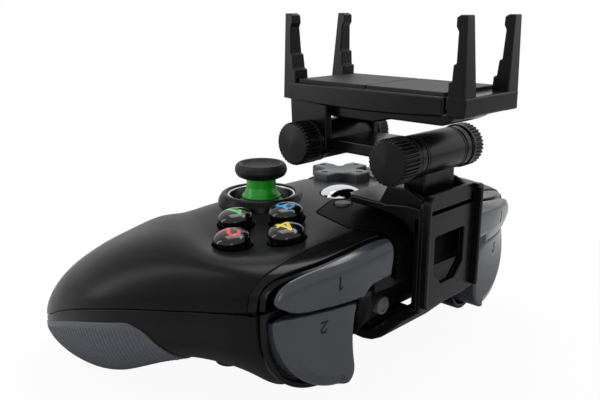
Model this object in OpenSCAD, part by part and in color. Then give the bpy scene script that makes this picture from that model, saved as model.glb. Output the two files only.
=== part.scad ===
// Game pad with a clamp-on phone holder.
// Pad frame: X to the player's right, Y forward, Z up. Its zero is on the face-button line,
// level with the seam. Every piece is then lifted so that the part stands on z = 0 with the
// middle of its plan at the origin.

/* [Body shell] */
// Front of the body ahead of the face-button line
front_y = 33.6; // [32.8:0.2:34.6]
// Back edge behind the face-button line
back_y = 36; // [35:0.2:38]
// Height of the top face in the middle
face_z = 18.6; // [18:0.1:19]
// Depth of the underside in the middle
belly_z = 16; // [15.4:0.2:17]
// Outer end of the bumpers from the middle
shoulder_x = 58; // [57:0.2:60]
// Grip centre line from the middle
grip_x = 62; // [60:0.5:66]
// Half width of a grip before its rounded end
grip_half_w = 17; // [15:0.2:19]
// Reach of the grip tips behind the face-button line
tip_y = 68.5; // [64:0.5:74]
// Depth of the grips below the seam level
grip_drop = 34.5; // [32:0.5:38]
// Wall of both shells
wall = 2; // [1.6:0.1:2.4]
// Gap along the seam between the shells
seam_gap = 0.3; // [0.1:0.05:0.4]
// Depth of the hollow round the face buttons
dish_depth = 1.9; // [1:0.1:2.2]
// Swelling of the underside behind the triggers
bulge_h = 6; // [4.6:0.2:6.6]

/* [Grip pads] */
// Thickness of a grip pad
pad_t = 0.8; // [0.5:0.1:1.2]
// Start of the pad along the half body, as a share of its length
pad_start = 0.5; // [0.46:0.01:0.54]

/* [Bumpers and triggers] */
// Inner end of the bumpers from the middle
bumper_in_x = 21.3; // [21:0.1:22]
// Gap between a bumper and the shell behind it
bumper_gap = 1.6; // [1.4:0.1:2]
// Wall of a bumper
bumper_wall = 3; // [2.4:0.1:3.4]
// Underside of the bumpers
bumper_z = 4.8; // [4.6:0.1:5.2]
// Inner edge of a trigger
trigger_in_x = 31; // [30:0.2:32]
// Outer edge of a trigger at its top
trigger_out_x = 55.2; // [54.4:0.2:56]
// Lowest point of a trigger
trigger_low_z = 21.2; // [20.2:0.2:22.2]
// Front of a trigger at the middle of its hollow
trigger_front_y = 28.8; // [28:0.1:29.6]
// Sweep of a trigger's top towards the shoulder
trigger_sweep = 6; // [4:0.2:6.6]
// Wall of a trigger
trigger_wall = 2.4; // [2:0.1:2.8]
// Gap between a trigger and its frame
trigger_gap = 1.5; // [1.2:0.1:1.8]
// Diameter of a trigger pin
trigger_pin_d = 2.4; // [2:0.1:2.6]

/* [Thumb sticks] */
// Right stick from the middle
stick_x = 18.2; // [17.6:0.1:19]
// Right stick behind the face-button line
stick_y = 20.1; // [19.6:0.1:20.6]
// Height of the stick pivot
stick_pivot_z = 7.5; // [7.2:0.1:7.8]
// Top of a stick cap
stick_top_z = 28.4; // [27:0.1:30]
// Diameter of a stick cap
stick_cap_d = 16.3; // [14:0.1:18]
// Thickness of a stick cap
stick_cap_t = 4.6; // [4:0.1:5]
// Diameter of a stick stem
stick_stem_d = 9.2; // [8:0.1:9.6]
// Outer radius of the dome at the foot of a stem
stick_dome_r = 11.2; // [11:0.1:11.4]
// Opening of the ring round a stick
stick_ring_d = 19.8; // [19.6:0.1:20.2]
// Outside diameter of the collar round a stick
stick_collar_d = 24.5; // [24:0.1:25.4]
// Top of the collars
stick_collar_z = 19.1; // [18.6:0.1:19.4]

/* [Buttons] */
// Middle of the four face buttons from the middle of the pad
face_x = 37.8; // [37.4:0.1:38.2]
// Face button from the middle of the four
face_pitch = 10.3; // [9.4:0.1:10.8]
// Diameter of a face button
face_d = 10; // [8:0.1:10.6]
// Height of the face-button tops
face_top_z = 18; // [17.6:0.1:18.6]
// Outward lean of the face buttons in degrees
face_lean = 8.5; // [6:0.5:10]
// Side gap of every button in its hole
button_gap = 0.3; // [0.2:0.05:0.4]
// Place of the direction pad, to the left and back
dpad_at = 21.3; // [20.8:0.1:21.8]
// Length of the direction pad
dpad_l = 22.5; // [20:0.1:23]
// Width of an arm of the direction pad
dpad_w = 7.2; // [6:0.1:8]
// Top of the direction pad
dpad_top_z = 20; // [19:0.1:20.4]
// Home button behind the face-button line
home_y = 2.8; // [2.4:0.1:3.2]
// Diameter of the home button
home_d = 13; // [11:0.1:13.4]
// Diameter of the menu, view and pairing buttons
small_d = 5; // [4:0.1:5.4]

/* [Clip] */
// Half width of the clamp plates
clamp_half_w = 12; // [11:0.1:13]
// Thickness of the clamp plates
clamp_t = 1.2; // [1:0.1:1.4]
// Back face of the sliding plate
clamp_y = 34.4; // [34.4:0.1:34.8]
// Height of the clamp frame's side borders over its plate
border_h = 2; // [1:0.1:3]
// Half width of the window in the clamp plates
window_half_w = 7.4; // [5:0.1:8]
// Travel of the clamp slider
clamp_travel = 8; // [4:0.5:10]
// Lower pivot ahead of the face-button line
pivot_low_y = 29.5; // [28.5:0.1:30]
// Height of the lower pivot
pivot_low_z = 35.9; // [34.5:0.1:37]
// Upper pivot behind the face-button line
pivot_up_y = 4.6; // [3:0.1:6]
// Height of the upper pivot
pivot_up_z = 36.4; // [35:0.1:38]
// Diameter of the pivot barrels
barrel_d = 11.2; // [10:0.1:11.6]
// Half length of the pivot barrels
barrel_half_l = 9.5; // [8.5:0.1:10]
// Thickness of the pivot ears
ear_t = 2.6; // [2:0.1:3]
// Diameter of the pivot bolts
bolt_d = 4; // [3:0.1:5]
// Diameter of a knob between its ribs
knob_d = 11.8; // [10:0.1:12.4]
// Length of a knob
knob_l = 7.8; // [6:0.1:10]
// Ribs round a knob
knob_ribs = 20; // [12:1:24]

/* [Cradle] */
// Half width of the cradle
cradle_half_w = 13.6; // [12.8:0.1:15]
// Back of the cradle behind the face-button line
cradle_back_y = 14.6; // [14:0.1:16]
// Front of the closed cradle
cradle_front_y = 47.4; // [46:0.1:50]
// Underside of the tray
tray_z = 48.4; // [47.5:0.1:50]
// Height of the tray
tray_h = 5; // [4.6:0.1:6]
// Top of the prongs
prong_top_z = 73; // [66:0.5:80]
// Width of a prong at its foot
prong_w = 6.2; // [5:0.1:7]
// Thickness of a prong at its foot
prong_t = 5; // [4:0.1:5.6]
// Travel of the front jaw
jaw_travel = 26; // [10:1:30]
// Thickness of the cradle cover
cover_t = 1; // [0.6:0.1:1.4]
// Diameter of the jaw guide rods
rod_d = 2.4; // [2:0.1:2.6]

/* [Hidden] */
$fn = 48;

shell_black = "#232323";
gloss_black = "#141414";
slate = "#4a4e54";
pad_grey = "#3c3f44";
stem_green = "#1c8c1c";
silver = "#c4c6c8";
clip_black = "#1d1d1d";
steel = "#9a9ea2";

// Body loft. Each half is drawn from the middle (0) to the grip tip (1) through stations:
// place, centre x and y, half span x and y, seam height at the inner and outer edge, crown,
// belly, fullness of the section at its inner and outer edge, squareness of the outer edge,
// sideways tilt of the crown, setback of the lower half's outer edge and that half's fullness.
seam_in_z = 3;
seam_out_z = 5;
station = [
  [0, 0, (front_y - back_y) / 2, 0, (front_y + back_y) / 2, seam_in_z, seam_out_z,
    face_z, -belly_z, 5, 9, 6, 0, 4.5, 3.4],
  [0.17, 20, (front_y - back_y) / 2 + 0.2, 2, (front_y + back_y) / 2 + 0.6, seam_in_z,
    seam_out_z, face_z - 0.6, -belly_z - 0.5, 5, 9, 6, -0.5, 4.5, 3.6],
  [0.3, 35, -4, 7, 35.4, 2.5, seam_out_z, face_z - 2, -belly_z - 1.5, 4.6, 7, 4.5, -1.2, -3, 4.6],
  [0.41, shoulder_x - 12, -9.7, 12, 33.4, 1, 4.5, face_z - 2.6, -belly_z - 3, 4, 4.2, 3, -1, -1, 2.9],
  [0.54, grip_x - 9.5, -22.5, 13.8, 27, -2.6, 1.6, face_z - 3.1, -belly_z - 5, 3, 2.6, 2.2, -0.5, 0, 2.4],
  [0.7, grip_x - 3.7, -39, grip_half_w - 0.6, 18.6, -7, -3, 10, 3.2 - grip_drop, 2.4, 2.2, 2, 0, 0, 2.3],
  [0.85, grip_x, -54, grip_half_w, 13.5, -12.4, -9.4, 3, -grip_drop - 1.5, 2.1, 2.1, 2, 0, 0, 2.2],
  [1, grip_x + 4, -tip_y, grip_half_w - 1, 9, -20.5, -20, -5, -grip_drop - 1.5, 2, 2, 2, 0, 0, 2.2]];
tip_power = 6.5;
inner_square = 2.3;
dish_r = 15;
dip_at = [49, 2];
dip_depth = 1.6;
dip_r = 8;
bulge_at = [48, 19];
bulge_r = 6;

function lerp(a, b, s) = a + (b - a) * s;
function mirrored(r) = [for (i = [0:len(r) - 1]) (i == 0 || i == 1 || i == 3) ? -r[i] : r[i]];
rail = concat([for (k = [len(station) - 1:-1:1]) mirrored(station[k])], station);
last_rail = len(rail) - 1;
rail_slope = [for (i = [0:last_rail])
  let (a = max(i - 1, 0), b = min(i + 1, last_rail)) (rail[b] - rail[a]) / (rail[b][0] - rail[a][0])];
function span_of(t, i = 0) = (i >= last_rail - 1 || t < rail[i + 1][0]) ? i : span_of(t, i + 1);
// Cubic through the stations, with the slope of its neighbours at each one.
function row_at(t) =
  let (i = span_of(t), h = rail[i + 1][0] - rail[i][0], s = (t - rail[i][0]) / h)
  (2 * s * s * s - 3 * s * s + 1) * rail[i] + (s * s * s - 2 * s * s + s) * h * rail_slope[i]
  + (3 * s * s - 2 * s * s * s) * rail[i + 1] + (s * s * s - s * s) * h * rail_slope[i + 1];
function cap_at(t) = sqrt(max(0, 1 - pow(abs(t), tip_power)));
function bump(x, y, r) = exp(-(x * x + y * y) / (2 * r * r));
function dish(x, y) = dish_depth * bump(abs(x) - face_x, y, dish_r)
  + dip_depth * bump(x - dip_at.x, y - dip_at.y, dip_r);
function bulge(x, y) = bulge_h * bump(abs(x) - bulge_at.x, y - bulge_at.y, bulge_r);

// Point of the body at place t and section angle phi, drawn in by inset.
function body_point(t, phi, top, inset = 0) =
  let (
    q = row_at(t), cap = cap_at(t), s = sin(phi), c = max(0, cos(phi)), w = (1 + s) / 2,
    fullness = lerp(q[9], q[10], w),
    a = top ? fullness : q[14],
    b = top ? lerp(inner_square, q[11], w) : 2.2,
    u = sign(s) * pow(abs(s), 2 / a), h = pow(c, 2 / b),
    reach = norm([q[3], q[4]]),
    span = max(0.02, cap - inset / reach) - (top || u < 0 ? 0 : q[13] / reach),
    seam = (q[5] + q[6]) / 2, x = q[1] + q[3] * span * u, y = q[2] + q[4] * span * u,
    rise = top ? max(0.3, (q[7] - seam) * cap - inset) : min(-0.3, (q[8] - seam) * cap + inset),
    lean = top ? q[12] * u * h * cap : 0)
  [x, y, seam + (q[6] - q[5]) / 2 * u * cap + rise * h + lean - (top ? dish(x, y) : bulge(x, y)) * h];

// Closed section of the top or bottom half; a skirt carries a hollow past the seam.
function half_section(t, steps, top, inset, skirt) =
  let (arc = [for (j = [0:steps]) body_point(t, -90 + 180 * j / steps, top, inset)],
    drop = [0, 0, top ? -skirt : skirt])
  skirt == 0 ? arc : concat([arc[0] + drop], arc, [arc[steps] + drop]);
function along(t0, t1, n) = [for (i = [0:n]) sin(lerp(asin(t0), asin(t1), i / n))];

// Solid between matching closed rings of points, closed at both ends.
module skin(rings, flip = false) {
  m = len(rings[0]);
  n = len(rings);
  points = [for (r = rings) each r];
  sides = [for (i = [0:n - 2]) for (j = [0:m - 1])
    let (a = i * m + j, b = i * m + (j + 1) % m, c = a + m, d = b + m) each [[a, b, d], [a, d, c]]];
  last = (n - 1) * m;
  // Each end is a strip between the two halves of its ring.
  ends = [for (j = [0:floor(m / 2) - 1]) let (k = m - 1 - j) each concat(
    j + 1 < k ? [[j, k, j + 1], [last + j, last + j + 1, last + k]] : [],
    j + 1 < k - 1 ? [[j + 1, k, k - 1], [last + j + 1, last + k - 1, last + k]] : [])];
  faces = concat(sides, ends);
  polyhedron(points, flip ? faces : [for (f = faces) [for (k = [len(f) - 1:-1:0]) f[k]]]);
}
module body_half(t0, t1, n, steps, top, inset = 0, skirt = 0)
  skin([for (t = along(t0, t1, n)) half_section(t, steps, top, inset, skirt)], top);

module rod_x(r, x0, x1, y, z) translate([x0, y, z]) rotate([0, 90, 0]) cylinder(r = r, h = x1 - x0);
module rod_y(r, y0, y1, x, z) translate([x, y0, z]) rotate([-90, 0, 0]) cylinder(r = r, h = y1 - y0);
module rod_z(r, z0, z1, x, y) translate([x, y, z0]) cylinder(r = r, h = z1 - z0);
module block(a, b) translate(a) cube(b - a);
// Flat shape drawn in x and z, from y0 to y1.
module slab_y(y0, y1) translate([0, y1, 0]) rotate([90, 0, 0]) linear_extrude(y1 - y0) children();
// Flat shape drawn in y and z, from x0 to x1.
module slab_x(x0, x1) translate([x0, 0, 0]) rotate([90, 0, 90]) linear_extrude(x1 - x0) children();
module left() mirror([1, 0, 0]) children();
module both() {
  children();
  left() children();
}

// Levels inside the pad.
board_top_z = 1.5;
board_t = 1.6;
tub_wall = 1.6;
tub_back_y = 13.6;
tub_front_y = 22.4;
trigger_top_z = bumper_z - 1.1 - tub_wall - trigger_gap;
trigger_pivot_y = 20.2;
trigger_pivot_z = -4.6;
trigger_hub_r = trigger_pin_d / 2 + 1.3;
trigger_back_y = 20.8;
fit = 0.05;

// Plan of the bumper's rear edge, from its inner to its outer end.
bumper_edge = [[bumper_in_x, 31.6], [27, 30], [40, 29], [50, 26], [shoulder_x - 1, 24.6],
  [shoulder_x + 4, 22.6]];
far_out = 90;
far_front = 60;
panel_gap = 0.15;
bridge_half_w = bumper_in_x - 0.6;
bridge_edge = [[0, 0.5], [8, 0.5], [19, 4], [24.5, 21], [bridge_half_w, 29.8]];
bumper_pin = [19, 28.4];
bumper_pin_r = 1.5;
lug_z = [7, 10];

module tall() translate([0, 0, -60]) linear_extrude(160) children();
module bumper_plan(back = 0, inner = bumper_in_x)
  polygon(concat([[inner, bumper_edge[0].y - back]],
    [for (i = [1:len(bumper_edge) - 1]) [bumper_edge[i].x, bumper_edge[i].y - back]],
    [[far_out, bumper_edge[len(bumper_edge) - 1].y - back], [far_out, far_front], [inner, far_front]]));
module bridge_plan(grow = 0) offset(delta = grow)
  polygon(concat(bridge_edge, [[bridge_half_w, far_front], [-bridge_half_w, far_front]],
    [for (i = [len(bridge_edge) - 1:-1:1]) [-bridge_edge[i].x, bridge_edge[i].y]]));

stick_at = [[stick_x, -stick_y, stick_pivot_z], [-face_x, 0, stick_pivot_z]];
collar_r = stick_collar_d / 2;
ring_r = stick_ring_d / 2;
ring_t = 0.8;
dpad_place = [-dpad_at, -dpad_at, 0];
dpad_t = 4;
dpad_floor_z = dpad_top_z - dpad_t - 1.3;
dpad_dish_r = dpad_l / 2 + 2.2;
dpad_pin_z = 10.4;
dpad_pin_r = 1.2;
dpad_post_x = 7;
dpad_hollow_r = 28;
dpad_hollow = 0.8;
face_travel = 1.4;
face_places = [[0, -face_pitch], [face_pitch, 0], [-face_pitch, 0], [0, face_pitch]];
flange_w = 1.2;
flange_t = 1.2;
face_flange_z = -6.9;
small_at = [9.5, 6.1];
pairing_at = [19.4, -4];
rear_at = [44, -1];
rear_half = 5;
rear_r = 4;
rear_low_z = -belly_z - 4.6;
screw_at = [[40, -36], [57.5, -9]];
screw_r = 1.3;
screw_seat_z = -10;
boss_r = 3.2;
usb_half_w = 3.8;
usb_h = 2.7;
post_at = [[34, -20], [15, 15]];
post_r = 2.4;
battery_half_w = 24;
battery_y = [-20, 4];
battery_z = [-11, -2.4];

module at(p) translate(p) children();
module face_cluster() translate([face_x, 0, face_top_z]) rotate([0, face_lean, 0]) children();
module for_screws() for (p = screw_at) both() at([p.x, p.y, 0]) children();
module for_posts() for (p = post_at) both() at([p.x, p.y, 0]) children();

// Stadium from z0 to z1 along x.
module stadium(half, r, z0, z1) {
  block([-half, -r, z0], [half, r, z1]);
  for (s = [-1, 1]) rod_z(r, z0, z1, s * half, 0);
}

module collar() rotate_extrude() polygon([
  [ring_r + ring_t + fit, 12], [collar_r, 12], [collar_r, stick_collar_z - 0.9],
  [collar_r - 0.4, stick_collar_z - 0.2], [collar_r - 0.8, stick_collar_z],
  [ring_r + ring_t + 0.3, stick_collar_z], [ring_r + ring_t + fit, stick_collar_z - 0.3]]);

module top_shell() color(shell_black) difference() {
  union() {
    difference() {
      body_half(-0.9985, 0.9985, 72, 24, true);
      body_half(-0.97, 0.97, 40, 16, true, wall, 4);
      for (p = stick_at) rod_z(ring_r + ring_t + fit, 6, 30, p.x, p.y);
    }
    for (p = stick_at) at([p.x, p.y, 0]) collar();
    at(dpad_place) difference() {
      rod_z(dpad_dish_r + 1.4, dpad_floor_z - 1.4, face_z - 2, 0, 0);
      rod_z(dpad_dish_r - 0.6, dpad_floor_z, 30, 0, 0);
    }
    at(dpad_place) for (s = [-1, 1])
      block([s * dpad_post_x - 1.2, -2.5, dpad_pin_z - 2.4], [s * dpad_post_x + 1.2, 2.5, dpad_floor_z]);
    intersection() {
      body_half(-0.7, 0.7, 36, 16, true, wall / 2, 4);
      for_screws() rod_z(boss_r, 0.1, 30, 0, 0);
    }
  }
  tall() bridge_plan(panel_gap);
  both() tall() bumper_plan(bumper_gap, bridge_half_w);
  at(dpad_place) rod_z(dpad_dish_r - 0.6, dpad_floor_z, 30, 0, 0);
  at(dpad_place) rod_z(dpad_w / 2 + 2, 0, 30, 0, 0);
  at(dpad_place) rod_x(dpad_pin_r + fit, -12, 12, 0, dpad_pin_z);
  face_cluster() for (p = face_places) rod_z(face_d / 2 + button_gap, -20, 9, p.x, p.y);
  rod_z(home_d / 2 + button_gap, 0, 40, 0, -home_y);
  for_screws() rod_z(screw_r + fit, -1, 8, 0, 0);
}

// Outline of a trigger from the front: a quarter oval with a rounded inner corner.
trigger_corner = 4;
trigger_oval = 2.2;
module tub_outline(grow) offset(delta = grow) {
  steps = 20;
  w = trigger_out_x - trigger_in_x;
  h = trigger_top_z + trigger_low_z;
  polygon(concat([[trigger_in_x, trigger_top_z]],
    [for (i = [0:5]) let (a = 90 * i / 5) [trigger_in_x + trigger_corner * (1 - cos(a)),
      trigger_corner * (1 - sin(a)) - trigger_low_z]],
    [for (i = [steps - 3:-1:0]) let (a = 90 * i / steps)
      [trigger_in_x + w * pow(cos(a), 2 / trigger_oval), trigger_top_z - h * pow(sin(a), 2 / trigger_oval)]]));
}

module bottom_shell() color(shell_black) difference() {
  union() {
    difference() {
      translate([0, 0, -seam_gap]) body_half(-0.9985, 0.9985, 72, 24, false);
      body_half(-0.97, 0.97, 40, 16, false, wall, 4);
    }
    intersection() {
      body_half(-0.7, 0.7, 36, 16, false, wall / 2, 4);
      union() {
        for_screws() rod_z(boss_r, -40, 0, 0, 0);
        for_posts() rod_z(post_r, -40, board_top_z - board_t, 0, 0);
        both() block([13, battery_y[0], -40], [16, battery_y[1], battery_z[0]]);
      }
    }
  }
  both() slab_y(tub_back_y - fit, far_front) tub_outline(trigger_gap + tub_wall + fit);
  both() block([trigger_in_x - trigger_gap - tub_wall, tub_front_y - 1, -60], [far_out, far_front, 20]);
  for_screws() rod_z(screw_r + fit, -40, 1, 0, 0);
  for_screws() rod_z(boss_r - 0.6, -40, screw_seat_z, 0, 0);
  block([-usb_half_w - 0.4, 20, board_top_z - 0.4], [usb_half_w + 0.4, far_front, face_z]);
  rod_y(small_d / 2 + button_gap, 20, far_front, pairing_at.x, pairing_at.y);
  both() at([rear_at.x, rear_at.y, 0]) stadium(rear_half, rear_r + button_gap, -40, -8);
}

module front_bridge() color(gloss_black) difference() {
  union() {
    intersection() {
      difference() {
        body_half(-0.24, 0.24, 20, 24, true);
        body_half(-0.26, 0.26, 12, 16, true, wall, 4);
      }
      tall() bridge_plan();
    }
    both() at([bumper_pin.x, bumper_pin.y, 0]) {
      rod_z(bumper_pin_r, lug_z[0] - 1, face_z - 2, 0, 0);
      rod_z(bumper_pin_r + 0.5, lug_z[1] + 0.3, face_z - 2, 0, 0);
    }
  }
  rod_z(home_d / 2 + button_gap, 0, 40, 0, -home_y);
  both() rod_z(small_d / 2 + button_gap, 0, 40, small_at.x, small_at.y);
}

// Grip pad: a patch of the lower half, raised by its thickness.
pad_rows = 14;
pad_cols = 12;
pad_phi = [-45, 83];
pad_seat = 0.3;
function pad_point(i, j, raise) =
  let (phi = lerp(pad_phi[0], pad_phi[1], j / pad_cols),
    t = lerp(pad_start + 0.0011 * (phi - pad_phi[0]), 0.985, i / pad_rows),
    p = body_point(t, phi, false, -raise))
  [p.x, p.y, p.z - seam_gap];
module right_grip_pad() color(pad_grey)
  skin([for (i = [0:pad_rows]) concat([for (j = [0:pad_cols]) pad_point(i, j, pad_t)],
    [for (j = [pad_cols:-1:0]) pad_point(i, j, pad_seat)])]);
module left_grip_pad() left() right_grip_pad();

module right_trigger_frame() color(gloss_black) difference() {
  slab_y(tub_back_y, tub_front_y) tub_outline(trigger_gap + tub_wall);
  slab_y(tub_back_y + 1.4, far_front) tub_outline(trigger_gap);
  rod_x(trigger_pin_d / 2 + fit, trigger_in_x - 10, trigger_out_x + 10, trigger_pivot_y, trigger_pivot_z);
}
module left_trigger_frame() left() right_trigger_frame();

module shell_screws() color(steel) for_screws() {
  rod_z(screw_r, screw_seat_z - 1, 7.5, 0, 0);
  rod_z(boss_r - 0.8, screw_seat_z - 2, screw_seat_z, 0, 0);
}

module right_bumper() color(slate) difference() {
  union() {
    intersection() {
      difference() {
        body_half(0.13, 0.46, 22, 24, true);
        body_half(0.11, 0.48, 14, 16, true, bumper_wall, 4);
      }
      translate([0, 0, bumper_z]) linear_extrude(60) bumper_plan();
    }
    block([bumper_pin.x - 2.6, bumper_pin.y - 2.6, lug_z[0]],
      [bumper_in_x + 1.2, bumper_pin.y + 2.4, lug_z[1]]);
    block([bumper_in_x + 0.2, bumper_pin.y - 1.4, lug_z[0]],
      [bumper_in_x + 4.7, bumper_pin.y + 3.8, lug_z[1]]);
  }
  rod_z(bumper_pin_r + fit, 0, 30, bumper_pin.x, bumper_pin.y);
}
module left_bumper() left() right_bumper();

// Front of the trigger: a shallow hollow between its top and its flared tip, swept back
// towards the shoulder at the top.
hollow_depth = 1.8;
hollow_z = -10;
hollow_half_h = 12;
sweep_fade = 11;
function trigger_front(x, z) =
  let (s = (x - trigger_in_x) / (trigger_out_x - trigger_in_x))
  trigger_front_y + hollow_depth * pow((z - hollow_z) / hollow_half_h, 2)
  - trigger_sweep * s * s * exp((z - trigger_top_z) / sweep_fade);
module trigger_block(inset, back) {
  rows = 13;
  cols = 14;
  heights = [for (j = [0:cols]) lerp(-trigger_low_z - 1, trigger_top_z + 1, j / cols)];
  skin([for (i = [0:rows]) let (x = lerp(trigger_in_x - 1, trigger_out_x + 1, i / rows)) concat(
    [for (z = heights) [x, trigger_front(x, z) - inset, z]],
    [for (j = [cols:-1:0]) [x, back, heights[j]]])]);
}
// Brow of the trigger in front of its frame, which rises towards the shoulder.
brow_back_y = tub_front_y + 0.8;
brow_rise = [0.4, 3.1];
brow_root = 2;
function brow_top(s) = trigger_top_z + lerp(brow_rise[0], brow_rise[1], sin(90 * s));
module trigger_brow() {
  rows = 12;
  cols = 5;
  skin([for (i = [0:rows]) let (
    s = i / rows, x = lerp(trigger_in_x + 0.4, trigger_out_x - 2, s),
    heights = [for (j = [0:cols]) lerp(trigger_top_z - brow_root, brow_top(s), j / cols)]) concat(
    [for (z = heights) [x, trigger_front(x, z), z]],
    [for (j = [cols:-1:0]) [x, brow_back_y, heights[j]]])]);
}
trigger_ribs = [trigger_in_x + 5, trigger_in_x + 16];
module right_trigger() color(slate) difference() {
  union() {
    difference() {
      intersection() {
        slab_y(0, far_front) tub_outline(0);
        trigger_block(0, trigger_back_y);
      }
      intersection() {
        slab_y(0, far_front) tub_outline(-trigger_wall);
        trigger_block(trigger_wall, trigger_back_y - 4);
      }
    }
    trigger_brow();
    for (x = trigger_ribs) {
      rod_x(trigger_hub_r, x, x + 3, trigger_pivot_y, trigger_pivot_z);
      block([x, trigger_pivot_y, trigger_pivot_z - trigger_hub_r],
        [x + 3, trigger_front(x + 3, trigger_pivot_z) - 1, trigger_pivot_z + trigger_hub_r]);
    }
  }
  rod_x(trigger_pin_d / 2 + fit, 0, far_out, trigger_pivot_y, trigger_pivot_z);
}
module left_trigger() left() right_trigger();
module trigger_pins() color(steel) both()
  rod_x(trigger_pin_d / 2, trigger_in_x - 2.6, trigger_out_x + 2, trigger_pivot_y, trigger_pivot_z);
module trigger_springs() color(steel) both() difference() {
  x0 = trigger_ribs[0] + 3.4;
  rod_x(trigger_hub_r, x0, trigger_ribs[1] - 0.4, trigger_pivot_y, trigger_pivot_z);
  rod_x(trigger_pin_d / 2 + 0.4, x0 - 1, trigger_ribs[1] + 1, trigger_pivot_y, trigger_pivot_z);
}

module stick_rings() color(silver) for (p = stick_at) at([p.x, p.y, 0]) difference() {
  rod_z(ring_r + ring_t, stick_collar_z - 4, stick_collar_z - 0.4, 0, 0);
  rod_z(ring_r, 0, 40, 0, 0);
}

housing_half = 6.5;
housing_wall = 1.2;
yoke_r = housing_half - housing_wall - 0.4;
yoke_half_h = 1.4;
trunnion_r = 1;
rocker_pin_r = 0.8;
rocker_r = yoke_r - 1.7;
rocker_half_h = 1.2;
lever_r = 1.5;
lever_low = 2.9;
module stick_housing(p) color(clip_black) at([p.x, p.y, 0]) difference() {
  block([-housing_half, -housing_half, board_top_z], [housing_half, housing_half, p.z + 2.1]);
  block([-housing_half + housing_wall, -housing_half + housing_wall, board_top_z + 1],
    [housing_half - housing_wall, housing_half - housing_wall, 40]);
  rod_y(trunnion_r + fit, -20, 20, 0, p.z);
}
module stick_yoke(p) color(silver) at(p) difference() {
  union() {
    rod_z(yoke_r, -yoke_half_h, yoke_half_h, 0, 0);
    rod_y(trunnion_r, -housing_half + 0.2, housing_half - 0.2, 0, 0);
  }
  rod_z(rocker_r + 0.5, -9, 9, 0, 0);
  rod_x(rocker_pin_r + fit, -9, 9, 0, 0);
}
module stick_rocker(p) color(steel) at(p) difference() {
  union() {
    rod_z(rocker_r, -rocker_half_h, rocker_half_h, 0, 0);
    rod_x(rocker_pin_r, -yoke_r + 0.2, yoke_r - 0.2, 0, 0);
  }
  rod_z(lever_r + fit, -9, 9, 0, 0);
}
dome_t = 1.2;
dome_angle = 52;
socket_h = 2.2;
module stick_stem(p) color(stem_green) at(p) {
  reach = stick_top_z - p.z - stick_cap_t + socket_h;
  arc = [for (i = [0:13]) dome_angle * i / 13];
  rotate_extrude() polygon(concat(
    [for (a = arc) stick_dome_r * [sin(a), cos(a)]],
    [for (i = [13:-1:0]) (stick_dome_r - dome_t) * [sin(arc[i]), cos(arc[i])]]));
  rod_z(lever_r, -lever_low, stick_dome_r - 0.4, 0, 0);
  rod_z(stick_stem_d / 2, stick_dome_r - 1.6, reach, 0, 0);
}
module stick_cap(p) color(gloss_black) at([p.x, p.y, stick_top_z - stick_cap_t]) rotate_extrude() {
  r = stick_cap_d / 2;
  s = stick_stem_d / 2 + 0.03;
  h = stick_cap_t;
  polygon([[0, socket_h + 0.03], [s, socket_h + 0.03], [s, 0], [r - 2.2, 0], [r - 1, 0.5],
    [r - 0.3, 1.3], [r, 2.3], [r - 0.2, h - 1.2], [r - 0.8, h - 0.4], [r - 1.6, h],
    [r - 2.4, h - 0.1], [r - 3.2, h - 0.7], [0, h - 0.9]]);
}

module face_button(i) color(gloss_black) face_cluster() at([face_places[i].x, face_places[i].y, 0]) {
  r = face_d / 2;
  rotate_extrude() polygon([[0, 0], [r * 0.55, -0.25], [r * 0.82, -0.75], [r * 0.96, -1.4], [r, -2.1],
    [r, face_flange_z - flange_t], [0, face_flange_z - flange_t]]);
  rod_z(r + flange_w, face_flange_z - flange_t, face_flange_z, 0, 0);
}

module direction_pad() color(slate) at(dpad_place) difference() {
  union() {
    for (a = [0, 90]) rotate(a) block([-dpad_l / 2, -dpad_w / 2, dpad_top_z - dpad_t],
      [dpad_l / 2, dpad_w / 2, dpad_top_z]);
    for (s = [-1, 1])
      block([-2, s * 3.6 - 1, dpad_pin_z - 2.2], [2, s * 3.6 + 1, dpad_top_z - 1]);
  }
  rod_y(dpad_pin_r + fit, -6, 6, 0, dpad_pin_z);
  at([0, 0, dpad_top_z + dpad_hollow_r - dpad_hollow]) sphere(r = dpad_hollow_r, $fn = 96);
}
module direction_pad_pin() color(steel) at(dpad_place) {
  rod_x(dpad_pin_r, -dpad_post_x - 1, dpad_post_x + 1, 0, dpad_pin_z);
  rod_y(dpad_pin_r, -4.4, 4.4, 0, dpad_pin_z);
}

module home_button() color(silver) at([0, -home_y, face_z]) {
  r = home_d / 2;
  rotate_extrude() polygon([[0, 2], [r * 0.5, 1.75], [r * 0.8, 1.1], [r * 0.94, 0.3], [r, -0.6],
    [r, -3.6], [0, -3.6]]);
  rod_z(r + flange_w, -3.8, -2.6, 0, 0);
}
module small_button() at([small_at.x, small_at.y, face_z]) {
  rod_z(small_d / 2, -3.4, 0.3, 0, 0);
  rod_z(small_d / 2 + 0.9, -4, -2.9, 0, 0);
}
module menu_button() color("#6a6e72") small_button();
module view_button() color("#6a6e72") left() small_button();
module pairing_button() color("#303234") {
  rod_y(small_d / 2, 22, front_y - 3.9, pairing_at.x, pairing_at.y);
  rod_y(small_d / 2 + 0.8, 22, 23.6, pairing_at.x, pairing_at.y);
}
module right_rear_button() color(gloss_black) at([rear_at.x, rear_at.y, 0]) {
  stadium(rear_half, rear_r, rear_low_z, -belly_z + 2.6);
  stadium(rear_half, rear_r + 1, -belly_z + 1.2, -belly_z + 2.6);
}
module left_rear_button() left() right_rear_button();

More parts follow.
